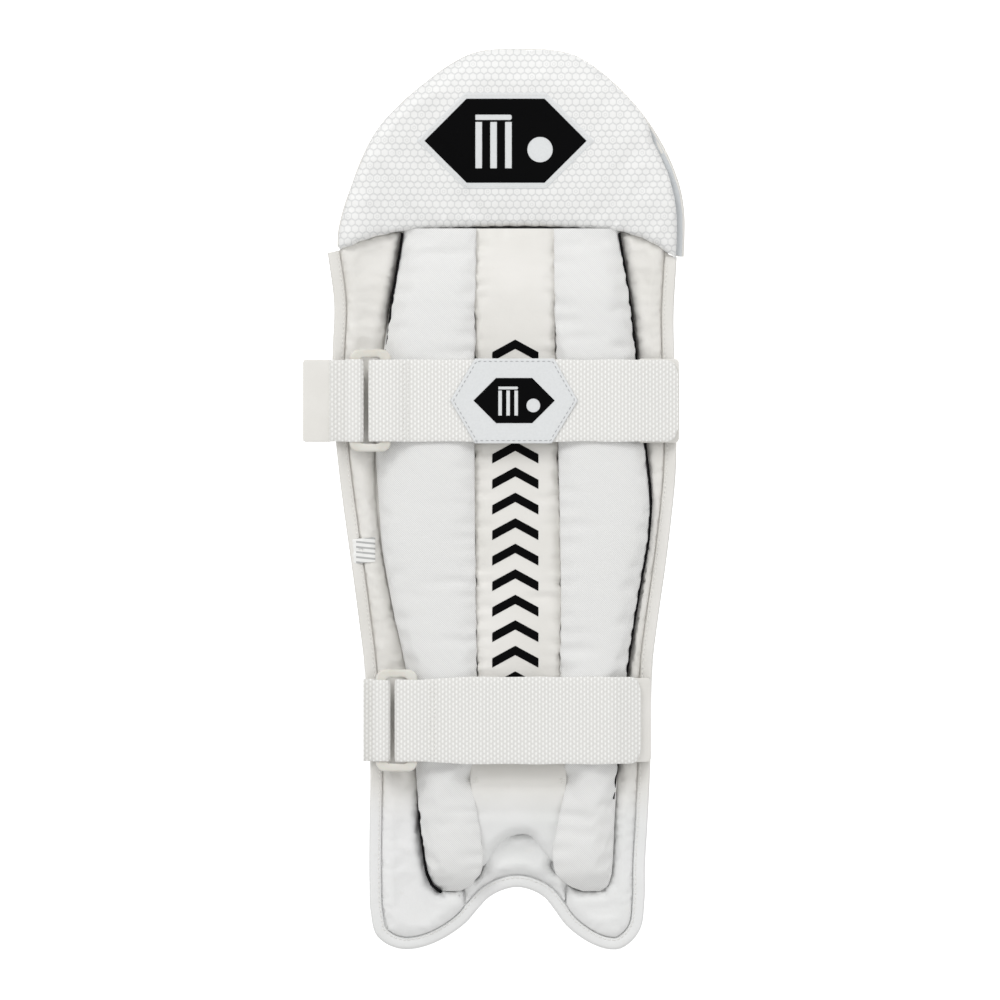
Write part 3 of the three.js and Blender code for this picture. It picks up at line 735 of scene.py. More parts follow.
# each stretch that shows: its name, its channel, and where it starts and ends above the foot in mm
stretches = [("right", "right", 60, 460), ("upper_left", "left", 362, 460), ("lower_left", "left", 0, 68)]
for label, side, start, end in stretches:
    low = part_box(f"bolster_{side}_cover")[0]
    tip_levels = 16 * (1 - np.cos(np.linspace(0.1, 1.5, 10)))
    levels = np.concatenate([tip_levels, np.arange(17, 442, 3)])
    levels = low.z + levels[(levels >= start) & (levels <= end)] * MM
    line = np.column_stack([outline(side, levels)[:, 1 if side == "right" else 0], levels])
    line = even(fair(line if side == "right" else line[::-1], 2 * MM), 2.2 * MM)
    above_foot = (line[:, 1] - low.z) / MM
    shows = 0.5 + 1.3 * np.exp(-(((above_foot - 10) / 14) ** 2))
    if start:
        fade = np.clip((above_foot - start) / 30, 0, 1)
    else:
        fade = np.clip((end - above_foot) / 20, 0, 1)
    across = (line - inset(line, 1 * MM, closed=False)) / MM
    line = line + across * (shows * fade * MM - TUCKED * (1 - fade))[:, None]
    gusset = sweep(f"bolster_side_wall_{label}", line, side_section, BLACK_MESH)
    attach(gusset, "shin")
    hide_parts("bolster_gusset")

# ------------------------------------------------------------------ bolster
# Three stuffed channels run up the shin: twill on the outer two and smooth leather on the middle one.
# Each is drawn through the frame's own width and height at every level, then blown up between its seams.
CHANNEL_BASE = -3 * MM
CHANNEL_TIP = 16 * MM
HEM_TUCK = 1 * MM
# an edge with more than this share of the full height is sewn to the next channel, and laps into the seam
SEWN = 0.5
SEAM_REACH = 1.7 * MM
# a bar tack pulls in each inner seam above the flap at the foot, and a crease runs from one tack to the other
TACK_Z = -147 * MM
TACK_DENT = 0.42
TACK_SPREAD = 6.5 * MM
CREASE_Z = -151.3 * MM
CREASE_DENT = 0.08
FLAP_TOP = -133 * MM


def creased(level):
    return 1 - CREASE_DENT * np.exp(-(((level - CREASE_Z) / (2.6 * MM)) ** 2))


def channel(side, material, seams, crown, seed, foot=None):
    """A stuffed channel. seams and crown give its left and right edge: share of height, and fullness.

    It closes to a round tip at its lower end, unless foot says where it is cut square.
    """
    node = f"bolster_{side}_cover"
    low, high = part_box(node)
    start = low.z + CHANNEL_TIP if foot is None else foot
    levels = np.append(np.arange(start, high.z, 2.6 * MM), high.z + HEM_TUCK)
    spans = eased(outline(side, levels), 9)
    if foot is None:
        rounding = low.z + CHANNEL_TIP * (1 - np.cos(np.linspace(0.12, 1.5, 9)))
        levels = np.concatenate([rounding, levels])
        spans = np.vstack([outline(side, rounding), spans])
    left, right, top = spans.T[:, :, None]
    left = left - SEAM_REACH * (seams[0] > SEWN)
    right = right + SEAM_REACH * (seams[1] > SEWN)
    level = levels[:, None]
    middle, half = (left + right) / 2, (right - left) / 2
    base = wrap(middle) + CHANNEL_BASE
    rise = base - top
    if foot is None:
        to_tip = np.clip(1 - (level - low.z) / CHANNEL_TIP, 0, 1)
        rise = rise * np.clip(1 - to_tip**2.2, 0.02, 1) ** 0.5
    across = np.sin(np.linspace(-np.pi / 2, np.pi / 2, 33))[None]
    leftward = across < 0
    edge = np.where(leftward, seams[0], seams[1])
    power = np.where(leftward, crown[0], crown[1])
    share = edge + (1 - edge) * (1 - np.abs(across) ** power) ** 0.5
    x = middle + half * across
    plan = np.column_stack([x.ravel(), np.repeat(levels, across.size)])
    for hand, sewn in ((-1, seams[0] > SEWN), (1, seams[1] > SEWN)):
        distance = (1 - hand * across) * half
        if sewn:
            folds = gathers(level, 10 * MM, seed + hand) * np.exp(-distance / (7 * MM))
            share = share + folds * 0.045
            tack = np.exp(-((level - TACK_Z) ** 2 + distance**2) / (2 * TACK_SPREAD**2))
            share = share * (1 - TACK_DENT * tack)
        else:
            folds = gathers(level, 16 * MM, seed + hand) * np.exp(-distance / (9 * MM))
            share = share + folds * 0.02
    share = share + (unevenness(plan, 75 * MM, seed) * 0.02).reshape(x.shape)
    if foot is not None:
        share = share * creased(level)
    y = base - rise * share
    walls = []
    for end, sewn in ((0, seams[0] > SEWN), (-1, seams[1] > SEWN)):
        down = np.array([0.8, 0.5, 0.2, 0.0])[None]
        under = (0 if sewn else 1.6 * MM) * (1 - down) ** 1.5 * (1 if end == 0 else -1)
        wall_x = x[:, [end]] + under * np.clip(rise / (12 * MM), 0, 1)
        wall_y = base + (y[:, [end]] - base) * down
        walls.append((wall_x, wall_y))
    xs = np.hstack([walls[0][0][:, ::-1], x, walls[1][0]])
    ys = np.hstack([walls[0][1][:, ::-1], y, walls[1][1]])
    rings = np.stack([xs, ys, np.broadcast_to(level, xs.shape)], axis=2)
    made = loft(f"bolster_channel_{side}", rings, material, sharp=70)
    points = np.array([v.co for v in made.data.vertices])
    held = points[:, 1] > wrap(points[:, 0]) - 9 * MM
    held |= points[:, 2] > high.z - 2 * MM
    held |= points[:, 2] < (low.z if foot is None else foot + 1 * MM)
    swell(made, held, 1.8 * MM)
    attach(made, "shin")
    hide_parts(node, node.replace("cover", "foam"))
    return made


def twill(place):
    x, _, z = place.parts()
    weft = place.noise(9 * MM, 3)
    ribs = ((x + z) * (2 * math.pi / (1.45 * MM))).math("SINE")
    cross = ((x - z) * (2 * math.pi / (0.95 * MM))).math("SINE")
    weave = ribs * 0.7 + cross * 0.3
    colour = weave.between(-0.9, 0.7).blend(rgb(222, 222, 221), rgb(239, 239, 238))
    colour = (weft.between(0.45, 0.75) * 0.4).blend(colour, rgb(233, 233, 231))
    return {"Base Color": colour, "Roughness": 0.8 + weft * 0.12}, weave * (0.07 * MM) + weft * (0.25 * MM)


TWILL = finish_of("diagonal twill", twill, Specular_IOR_Level=0.25)
left_channel = channel("left", TWILL, (0.42, 0.8), (2.3, 3.0), 21)
centre_channel = channel("centre", LEATHER, (0.86, 0.86), (4.5, 4.5), 31, FLAP_TOP)
right_channel = channel("right", TWILL, (0.8, 0.42), (3.0, 2.3), 41)

# the foot of the centre channel is a flap of the same leather, cut in an arch between the two outer channels
FOOT_ARCH = [(-24, -206), (-20.4, -203), (-13.2, -192), (-2, -184.3), (8, -184.1), (15, -192), (23.5, -201.5)]
FOOT_ARCH += [(27.2, -203)]
flap_levels = np.linspace(-168, -132, 10) * MM
flap_spans = outline("centre", flap_levels) + [-SEAM_REACH, SEAM_REACH, 0]
foot_arch = fair(np.array(FOOT_ARCH) * MM, 1.8 * MM)


def flap_edge(lower_points, column):
    return np.vstack([np.array(lower_points) * MM, np.column_stack([flap_spans[:, column], flap_levels])])


flap_right = flap_edge([(29.2, -196), (31.6, -181)], 1)
flap_left = flap_edge([(-24.8, -199), (-27, -181)], 0)
foot_loop = anticlockwise(even(np.vstack([foot_arch, flap_right, flap_left[::-1]]), 1.8 * MM, closed=True))


def foot_front(plan, distance):
    x, z = plan.T
    left, right, top = (np.interp(z, flap_levels, column) for column in flap_spans.T)
    from_side = np.minimum(x - left, right - x)
    share = 0.84 + 0.16 * shoulder(np.maximum(from_side, 0), 12 * MM, 4)
    share *= creased(z)
    share *= 0.55 + 0.45 * np.clip((z + 204 * MM) / (30 * MM), 0, 1)
    share *= 0.1 + 0.9 * shoulder(away(plan, foot_arch, False), 8 * MM, 2.2)
    base = wrap(x) + CHANNEL_BASE
    puckers = gathers(z, 9 * MM, 33) * np.exp(-np.abs(from_side) / (5 * MM)) * 0.5 * MM
    return base - (base - top) * share + puckers * (distance > 0.5 * MM)


centre_foot = panel(
    "bolster_channel_centre_foot",
    foot_loop,
    2.2 * MM,
    foot_front,
    lambda plan, _: wrap(plan[:, 0]) + CHANNEL_BASE + 0.2 * MM,
    LEATHER,
    rings=(0.6 * MM, 1.6 * MM, 3 * MM),
)
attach(centre_foot, "shin")
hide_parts("bolster_centre_cover")

# a short bar tack closes each inner seam above the flap
tack_rows = []
for seam_x in outline("centre", np.array([TACK_Z]))[0, :2]:
    for offset in (-1.2, 0, 1.2):
        row = np.array([(-2.6, offset), (2.6, offset + 0.5)]) * MM + [seam_x, TACK_Z]
        row = even(row, 1.2 * MM)
        tack_rows.append(on(row, left_channel, centre_foot, right_channel, lift=0.2 * MM))
tacks = stitches("channel_bar_tacks", tack_rows, 1.7 * MM, 1.9 * MM, 0.8 * MM)
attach(tacks, "shin")

# ------------------------------------------------------------------ knee dome
# The padded dome over the kneecap leans towards the leg and is sewn to the shin along its hem.
# It is drawn upright, and then every piece of it is leaned about the hinge of the frame.
KNEE_LEAN = math.radians(4)
hinge = np.array(next(j for j in frame["joints"] if j["name"] == "knee_flex")["pos_m"])
DOME_BACK = -0.3 * MM
DOME_RISE = 12.6 * MM
RIM_LIP = 0.8 * MM
# low on its right side the padding stops this far short of the rim
RIGHT_STEP = 4.5 * MM
# the hem laps this far over the tops of the channels, and stands this far off the lining there
HEM_LAP = 1.8 * MM
HEM_STAND = 6.5 * MM


def leaned(points, angle=KNEE_LEAN):
    x, y, z = (points - hinge).T
    turned = [x, y * math.cos(angle) - z * math.sin(angle), y * math.sin(angle) + z * math.cos(angle)]
    return np.stack(turned, axis=1) + hinge


def upright(points):
    return leaned(points, -KNEE_LEAN)


def on_knee(obj, slot, *nodes):
    """Leans a finished piece and lets it ride on the knee."""
    points = np.array([v.co for v in obj.data.vertices])
    obj.data.vertices.foreach_set("co", leaned(points).astype(np.float32).ravel())
    obj.data.update()
    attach(obj, "knee")
    if nodes:
        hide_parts(*nodes)


def honeycomb(place):
    x, _, z = place.parts()
    pitch = 4.9 * MM
    spot = place.node("ShaderNodeCombineXYZ", {"X": x / pitch, "Y": z / pitch})
    period, half = (1.0, math.sqrt(3), 1.0), (0.5, math.sqrt(3) / 2, 0.5)

    def cell(shifted):
        whole = shifted.vector("DIVIDE", period).vector("FLOOR")
        return shifted.vector("SUBTRACT", whole.vector("MULTIPLY", period)).vector("SUBTRACT", half)

    first = cell(spot)
    second = cell(spot.vector("SUBTRACT", half))
    nearer = first.vector("LENGTH", out=1).math("LESS_THAN", second.vector("LENGTH", out=1))
    chosen = spot.node("ShaderNodeMix", {0: nearer, 4: second, 5: first}, 1, data_type="VECTOR")
    x_in, z_in, _ = chosen.vector("ABSOLUTE").parts()
    across = x_in.math("MAXIMUM", x_in * 0.5 + z_in * (math.sqrt(3) / 2))
    line = across.between(0.39, 0.47)
    middle = spot.vector("SUBTRACT", chosen)
    chance = middle.node("ShaderNodeTexWhiteNoise", {"Vector": middle.vector("SNAP", (0.5, 0.5, 0.5))})
    reach = chosen.vector("LENGTH", out=1)
    dot = reach.between(0.13, 0.17) * (1 - reach.between(0.21, 0.25)) * chance.between(0.72, 0.74)
    ink = (line * 0.75).math("MAXIMUM", dot * 0.6)
    colour = ink.blend(rgb(240, 240, 239), rgb(213, 214, 214))
    grain = place.noise(0.6 * MM, 3)
    height = (1 - line) * (0.09 * MM) + grain * (0.04 * MM) + place.noise(16 * MM) * (0.6 * MM)
    return {"Base Color": colour, "Roughness": 0.42 + grain * 0.16}, height


HONEYCOMB = finish_of("honeycomb leather", honeycomb, Specular_IOR_Level=0.42)
face_loop = anticlockwise(fair_loop(edge_loop("knee_face", upright), 2.5 * MM))
face_loop = np.roll(face_loop, -(face_loop @ (1, 1.4)).argmin(), axis=0)
hem_end = (face_loop @ (-1, 1.4)).argmin()
rim_line = inset(np.vstack([face_loop[hem_end:], face_loop[:1]]), -SHELL_EDGE, closed=False)
arch = inset(rim_line, RIM_LIP, closed=False)
to_right = np.clip((arch[:, 0] - 80 * MM) / (16 * MM), 0, 1)
low_down = np.clip((296 * MM - arch[:, 1]) / (16 * MM), 0, 1)
arch[:, 0] -= RIGHT_STEP * to_right * low_down
arch[[0, -1], 1] -= HEM_LAP
hem_line = face_loop[: hem_end + 1]
hem_line = hem_line[(hem_line[:, 0] > arch[-1, 0] + 1 * MM) & (hem_line[:, 0] < arch[0, 0] - 1 * MM)]
hem_line = hem_line - [0, HEM_LAP]
hem_line[:, 1] += 0.7 * MM * np.abs(np.sin(np.pi * hem_line[:, 0] / (11 * MM)))
dome_loop = even(np.vstack([hem_line, arch]), 2.4 * MM, closed=True)


def dome_front(plan, distance):
    from_hem, run = away(plan, hem_line, False), along(plan, hem_line)
    rise = shoulder(away(plan, arch, False), 19 * MM, 2.1) * shoulder(from_hem + 0.6 * MM, 5 * MM, 2.4)
    rise *= 0.9 + 0.1 * shoulder(from_hem, 24 * MM, 2.0)
    pleats = np.exp(-from_hem / (7 * MM)) * gathers(run, 11 * MM, 5) * np.clip(distance / (2 * MM), 0, 1)
    edge_folds = np.exp(-distance / (6 * MM)) * gathers(along(plan, dome_loop), 14 * MM, 6)
    rise = rise * DOME_RISE + (pleats * 1.5 + edge_folds * 0.3 + unevenness(plan, 80 * MM, 7) * 0.4) * MM
    return wrap(plan[:, 0]) + DOME_BACK - 2 * MM - np.maximum(rise, HEM_STAND * lapped(plan))


def lapped(plan):
    """How far the dome's hem stands off the lining, where it lies over the tops of the channels."""
    seam = np.interp(plan[:, 0], face_loop[: hem_end + 1, 0], face_loop[: hem_end + 1, 1])
    middle = np.clip((58 * MM - np.abs(plan[:, 0] - 2 * MM)) / (6 * MM), 0, 1)
    return np.clip((seam + 1.6 * MM - plan[:, 1]) / (1 * MM), 0, 1) * middle


dome = panel(
    "knee_dome_cushion",
    dome_loop,
    2.6 * MM,
    dome_front,
    lambda plan, _: wrap(plan[:, 0]) + DOME_BACK - HEM_STAND * lapped(plan),
    HONEYCOMB,
    rings=(0.6 * MM, 1.6 * MM, 3.0 * MM, 5 * MM),
)
dome_points = np.array([v.co for v in dome.data.vertices])
sewn_down = dome_points[:, 1] - wrap(dome_points[:, 0]) > -4 * MM
sewn_down |= dome_points[:, 2] < hem_line[:, 1].max() + 1 * MM
swell(dome, sewn_down, 1.6 * MM, growth=0.015)

# the rim of the dome: leather folded round the stiff shell, and the face on the impact side
rim = sweep("dome_rim", rim_line, folded(-0.1, 14.9, 4.2, 5), LEATHER)
knee_face = panel(
    "dome_face",
    face_loop,
    6 * MM,
    lambda plan, _: wrap(plan[:, 0]) + 12.3 * MM,
    lambda plan, _: wrap(plan[:, 0]) + 13.5 * MM,
    LEATHER,
)

# ------------------------------------------------------------------ emblem on the dome
# A silver plate under a black one is heat-pressed on the dome. The black one is a long hexagon
# with a wicket and a ball cut through it.


def satin_film(low, high):
    def look(place):
        brushed = place.noise(1.3 * MM, 4)
        varied = {"Base Color": brushed.blend(low, high), "Roughness": 0.34 + brushed * 0.16}
        return varied, brushed * (0.03 * MM)

    return look


silver_look = satin_film(rgb(216, 218, 219), rgb(230, 232, 233))
black_look = satin_film(rgb(4, 4, 5), rgb(9, 9, 10))
SILVER = finish_of("silver film", silver_look, Specular_IOR_Level=0.5)
BLACK = finish_of("black film", black_look, Specular_IOR_Level=0.04)


def block(x, z, width, height):
    """An anticlockwise rectangle round a centre."""
    w, h = width / 2, height / 2
    corners = np.array([(x - w, z - h), (x + w, z - h), (x + w, z + h), (x - w, z + h)])
    return even(corners, min(width, height) / 2, closed=True)


def disc(x, z, radius, count=28):
    turn = np.linspace(0, 2 * np.pi, count, endpoint=False)
    return np.column_stack([x + radius * np.cos(turn), z + radius * np.sin(turn)])


def wicket(x, z, height):
    """Three stumps, a bail and a ball, as outlines."""
    stump = height * 0.09
    cuts = [block(x + step * stump, z - height * 0.06, stump, height * 0.62) for step in (-2.2, 0, 2.2)]
    cuts.append(block(x, z + height * 0.31, stump * 5.4, stump * 0.8))
    cuts.append(disc(x + height * 0.62, z - height * 0.12, height * 0.17))
    return cuts


def film(name, loop, step, depth, lift, thick, material, holes=()):
    """A thin plate pressed on a surface, with a softened edge."""

    def front(plan, distance):
        return depth(plan) - lift - thick * (0.45 + 0.55 * shoulder(distance, 0.7 * MM))

    def back(plan, _):
        return depth(plan) - lift

    return panel(name, loop, step, front, back, material, holes, (0.3 * MM, 0.8 * MM))


dome_depth = surface(dome)
base_middle = upright(np.array([sum(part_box("emblem_base"), Vector()) / 2]))[0]
base_loop = anticlockwise(fair_loop(edge_loop("emblem_base", upright), 1.5 * MM, 25))
mark_loop = anticlockwise(fair_loop(edge_loop("emblem_mark", upright), 1.5 * MM, 25))
emblem_base = film("emblem_plate", base_loop, 2.4 * MM, dome_depth, 0.02 * MM, 0.5 * MM, SILVER)
cuts = wicket(base_middle[0] - 8 * MM, base_middle[2], 50 * MM)
emblem_mark = film("emblem_motif", mark_loop, 2.2 * MM, dome_depth, 0.5 * MM, 0.5 * MM, BLACK, cuts)
plate_row = on(inset(base_loop, 1.6 * MM), emblem_base, lift=0.05 * MM)
plate_row = np.vstack([plate_row, plate_row[:1]])
emblem_stitches = stitches("emblem_stitches", [plate_row], 2.4 * MM, 1.7 * MM, 0.45 * MM)

# ------------------------------------------------------------------ knee rolls
# Two padded rolls cross the impact face of the dome and turn the ball off the kneecap.
ROLL_BASE = 13.4 * MM


def roll(name, node, seed):
    loop = anticlockwise(fair_loop(edge_loop(node, upright), 2.2 * MM))

    def back(plan, distance):
        lumps = gathers(plan[:, 0], 26 * MM, seed) * 0.5 * MM * np.clip(distance / (3 * MM), 0, 1)
        folds = np.exp(-distance / (3 * MM)) * gathers(along(plan, loop), 7 * MM, seed) * 0.3 * MM
        rise = 0.6 * MM + 10.4 * MM * shoulder(distance, 14 * MM, 2)
        return wrap(plan[:, 0]) + ROLL_BASE + rise + lumps + folds

    def front(plan, _):
        return wrap(plan[:, 0]) + ROLL_BASE

    return panel(name, loop, 2.4 * MM, front, back, LEATHER, rings=(0.6 * MM, 1.6 * MM, 3 * MM))


lower_roll = roll("knee_bolster_lower", "knee_roll_lower", 51)
upper_roll = roll("knee_bolster_upper", "knee_roll_upper", 52)
on_knee(dome, "honeycomb_leather", "knee_lining", "knee_pad_foam")
on_knee(rim, "smooth_leather", "knee_binding")
on_knee(knee_face, "smooth_leather", "knee_face", "knee_core")
on_knee(emblem_base, "silver_film", "emblem_base")
on_knee(emblem_mark, "black_film", "emblem_mark")
on_knee(emblem_stitches, "smooth_leather")
for made, node in ((lower_roll, "knee_roll_lower"), (upper_roll, "knee_roll_upper")):
    on_knee(made, "smooth_leather", node)

# ------------------------------------------------------------------ impact face and ribs
# A leather face closes the shin shell, and seven narrow channels with a cane in each run down it.
# Rows of stitching lie between the channels.
shin_face_loop = anticlockwise(fair_loop(edge_loop("shin_face"), 3 * MM))
shin_face = panel(
    "shin_face_sheet",
    shin_face_loop,
    7 * MM,
    lambda plan, _: wrap(plan[:, 0]) + 12.4 * MM,
    lambda plan, _: wrap(plan[:, 0]) + 13.4 * MM,
    LEATHER,
)
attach(shin_face, "shin")
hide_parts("shin_face")
RIB_BASE = 13.6 * MM
RIB_STATIONS = 150
rib_nodes = [f"shin_rib_{number}" for number in range(1, 8)]
foot_run = inset(lining_loop, 5 * MM)
foot_run = np.roll(foot_run, -foot_run.sum(1).argmin(), axis=0)
foot_run = foot_run[: (foot_run @ (-1, 1)).argmin() + 1]
for number, node in enumerate(rib_nodes, 1):
    low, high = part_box(node)
    middle, half = (low.x + high.x) / 2, (high.x - low.x) / 2
    base = min(wrap(low.x), wrap(high.x)) + RIB_BASE
    share = np.linspace(0, 1, RIB_STATIONS)[:, None]
    end = np.minimum(share, 1 - share) * (high.z - low.z)
    fullness = 0.78 + 0.22 * shoulder(end, 10 * MM)
    width = half * (0.9 + 0.1 * shoulder(end, 6 * MM)) * (1 + 0.012 * gathers(share, 0.06, number))
    turn = np.linspace(0, np.pi, 15)[None]
    arch_x = middle + width * np.cos(turn)
    rise = (high.y - base) * fullness * (1 + 0.04 * gathers(share, 0.045, number + 9))
    arch_y = base + rise * np.sin(turn) ** 0.75
    foot = np.interp(arch_x, foot_run[:, 0], foot_run[:, 1])
    rings = np.stack([arch_x, arch_y, foot + (high.z - foot) * share], axis=2)
    rib = loft(f"shin_channel_{number}", rings, LEATHER, sharp=60)
    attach(rib, "shin")
    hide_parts(node)
between = []
for first, second in zip(rib_nodes, rib_nodes[1:]):
    x = (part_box(first)[1].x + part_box(second)[0].x) / 2
    low = max(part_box(first)[0].z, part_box(second)[0].z)
    line = even(np.array([[x, low], [x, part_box(first)[1].z]]), 4 * MM)
    between.append(on(line, shin_face, side=1, lift=0.1 * MM))
rib_stitches = stitches("rib_stitches", between, 3.6 * MM, 2.7 * MM, 0.8 * MM)
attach(rib_stitches, "shin")


def cane_look(place):
    x, _, z = place.parts()
    fibre = place.node("ShaderNodeCombineXYZ", {"X": x * 9, "Z": z * 0.4}).noise(3 * MM, 4)
    return {"Base Color": fibre.blend(rgb(176, 136, 82), rgb(222, 190, 138))}, fibre * (0.15 * MM)


def sheet_look(place):
    haze = place.noise(20 * MM, 3)
    colour = haze.blend(rgb(196, 200, 203), rgb(212, 215, 217))
    return {"Base Color": colour, "Roughness": 0.35 + haze * 0.2}, None


def dress(nodes, material):
    """Gives the frame's own nodes, which stay as they are, their finish."""
    for node in nodes:
        kept = frame["nodes"][node]
        kept.data.materials.clear()
        kept.data.materials.append(material)


CANE = finish_of("split cane", cane_look, Roughness=0.6)
SHEET = finish_of("stiffener sheet", sheet_look)
dress([f"rib_cane_{number}" for number in range(1, 8)], CANE)
dress(["shin_stiffener", "knee_stiffener"], SHEET)

# ------------------------------------------------------------------ knee hinge cover
# A strip of soft leather over the seam between shin and dome, on the impact side.
# It is cut in three, and each part follows its own stretch of the seam.
COVER_REACH = 13 * MM


def cover_back(plan, distance):
    waves = gathers(plan[:, 0], 15 * MM, 61) * 0.35 * MM
    return wrap(plan[:, 0]) + 15 * MM + shoulder(distance, 9 * MM) * 1.4 * MM + waves


for part, start_x, end_x in (("left", -108, -79), ("middle", -78.7, 70.7), ("right", 71, 101)):
    seam_x = np.linspace(start_x * MM, end_x * MM, 40)
    seam_line = np.interp(seam_x, hem_line[:, 0], hem_line[:, 1])
    lower_edge = np.column_stack([seam_x, seam_line - COVER_REACH])
    upper_edge = np.column_stack([seam_x, seam_line + COVER_REACH])
    cover_loop = anticlockwise(even(np.vstack([lower_edge, upper_edge[::-1]]), 2.2 * MM, closed=True))
    hinge_cover = panel(
        f"knee_hinge_cover_{part}",
        cover_loop,
        2.4 * MM,
        lambda plan, _: wrap(plan[:, 0]) + 13.9 * MM,
        cover_back,
        LEATHER,
        rings=(0.7 * MM, 2 * MM),
    )
    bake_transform(hinge_cover)

# ------------------------------------------------------------------ slotted rings
# Moulded cream plastic, one for each strap, with rounded bars. A webbing tab on the wing holds the left bar.


def ring_look(place):
    mould = place.noise(2.2 * MM, 3)
    worn = place.noise(11 * MM, 3).between(0.4, 0.75)
    colour = worn.blend(rgb(222, 219, 212), rgb(213, 209, 200))
    return {"Base Color": colour, "Roughness": 0.36 + mould * 0.16}, mould * (0.05 * MM)


PLASTIC = finish_of("cream plastic", ring_look, Specular_IOR_Level=0.5, Subsurface_Weight=0.05)
RING_CORNER = 6 * MM
SIDE_BAR = 7 * MM
END_BAR = 5.4 * MM
SLOT_CORNER = 2.4 * MM


def rounded(low_x, high_x, low_z, high_z, radius, step):
    """A rectangle with round corners, anticlockwise."""
    centres = [(high_x - radius, low_z + radius), (high_x - radius, high_z - radius)]
    centres += [(low_x + radius, high_z - radius), (low_x + radius, low_z + radius)]
    points = []
    for quarter, (x, z) in enumerate(centres):
        turn = (np.linspace(0, 1, 9) + quarter - 1) * np.pi / 2
        points.append(np.column_stack([x + radius * np.cos(turn), z + radius * np.sin(turn)]))
    return even(np.vstack(points), step, closed=True)


for strap in ("calf", "ankle"):
    low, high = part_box(f"{strap}_ring")
    middle = (low.y + high.y) / 2
    outer = rounded(low.x, high.x, low.z, high.z, RING_CORNER, 1 * MM)
    slot_x, slot_z = (low.x + SIDE_BAR, high.x - SIDE_BAR), (low.z + END_BAR, high.z - END_BAR)
    slot_hole = rounded(*slot_x, *slot_z, SLOT_CORNER, 1 * MM)

    def ring_half(distance):
        return (high.y - low.y) / 2 * (0.35 + 0.65 * shoulder(distance, 1.5 * MM))

    ring = panel(
        f"{strap}_slide_ring",
        outer,
        1.3 * MM,
        lambda _, distance: middle - ring_half(distance),
        lambda _, distance: middle + ring_half(distance),
        PLASTIC,
        holes=[slot_hole],
        rings=(0.25 * MM, 0.7 * MM, 1.5 * MM),
        sharp=60,
    )
    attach(ring, f"{strap}_ring")
    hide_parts(f"{strap}_ring")

# ------------------------------------------------------------------ webbing
# Coarse off-white webbing: a short tab on the wing goes round each ring's left bar, and the strap itself goes
# round the right bar, is turned back and sewn, and runs across the leg to the other wing.
WEB_THICK = 1.5 * MM
BAR_HALF = 3.5 * MM
STRAP_CORNER = 8 * MM
# away from its ring the ankle strap is this much wider at each edge
ANKLE_SPREAD = 1.8 * MM


def webbing_look(place):
    x, _, z = place.parts()
    column = x / (2.3 * MM)
    across = column.math("FRACT") - 0.5
    up = (z / (3.3 * MM) + column.math("FLOOR") * 0.5).math("FRACT") - 0.5
    knot = 1 - (across * across * 1.5 + up * up).math("SQRT").between(0.1, 0.56)
    fuzz = place.noise(0.7 * MM, 3)
    colour = knot.blend(rgb(224, 223, 220), rgb(252, 252, 250))
    colour = (fuzz.between(0.5, 0.8) * 0.3).blend(colour, rgb(240, 238, 233))
    return {"Base Color": colour, "Roughness": 0.78 + fuzz * 0.15}, knot * (0.28 * MM) + fuzz * (0.06 * MM)


WEBBING = finish_of("coarse webbing", webbing_look, Sheen_Weight=0.1, Specular_IOR_Level=0.3)


def strip(name, path, low, high, material, thick=WEB_THICK, corner=0.0, seed=0, spread=0.0):
    """Webbing laid along a path in x and y, from one level to another.

    Its far end may have round corners, and away from the ring it may spread.
    """
    path = fair(np.array(path), 2 * MM)
    tangent = np.gradient(path, axis=0)
    tangent /= np.linalg.norm(tangent, axis=1)[:, None]
    normal = np.stack([-tangent[:, 1], tangent[:, 0]], axis=1)
    run = np.concatenate([[0], np.cumsum(np.linalg.norm(np.diff(path, axis=0), axis=1))])
    left = np.clip(run[-1] - run, 0, corner) if corner else np.zeros(len(run))
    trim = corner - np.sqrt(np.maximum(corner**2 - (corner - left) ** 2, 0)) if corner else left
    trim = trim + (gathers(run, 40 * MM, seed) * 0.25 + 0.25) * MM
    trim = trim - spread * np.clip((run - 45 * MM) / (30 * MM), 0, 1)
    across = np.concatenate([[0, 0.012], np.linspace(0.035, 0.965, 23), [0.988, 1]])
    half = thick / 2 * (1 - np.abs(2 * across - 1) ** 24 * 0.75)
    rings = []
    for (x, y), (nx, ny), cut in zip(path, normal, trim):
        z = low + cut + (high - low - 2 * cut) * across
        front = np.column_stack([x + nx * half, y + ny * half, z])
        back = np.column_stack([x - nx * half, y - ny * half, z])
        rings.append(np.vstack([front, back[::-1]]))
    return loft(name, np.array(rings), material, sharp=50)


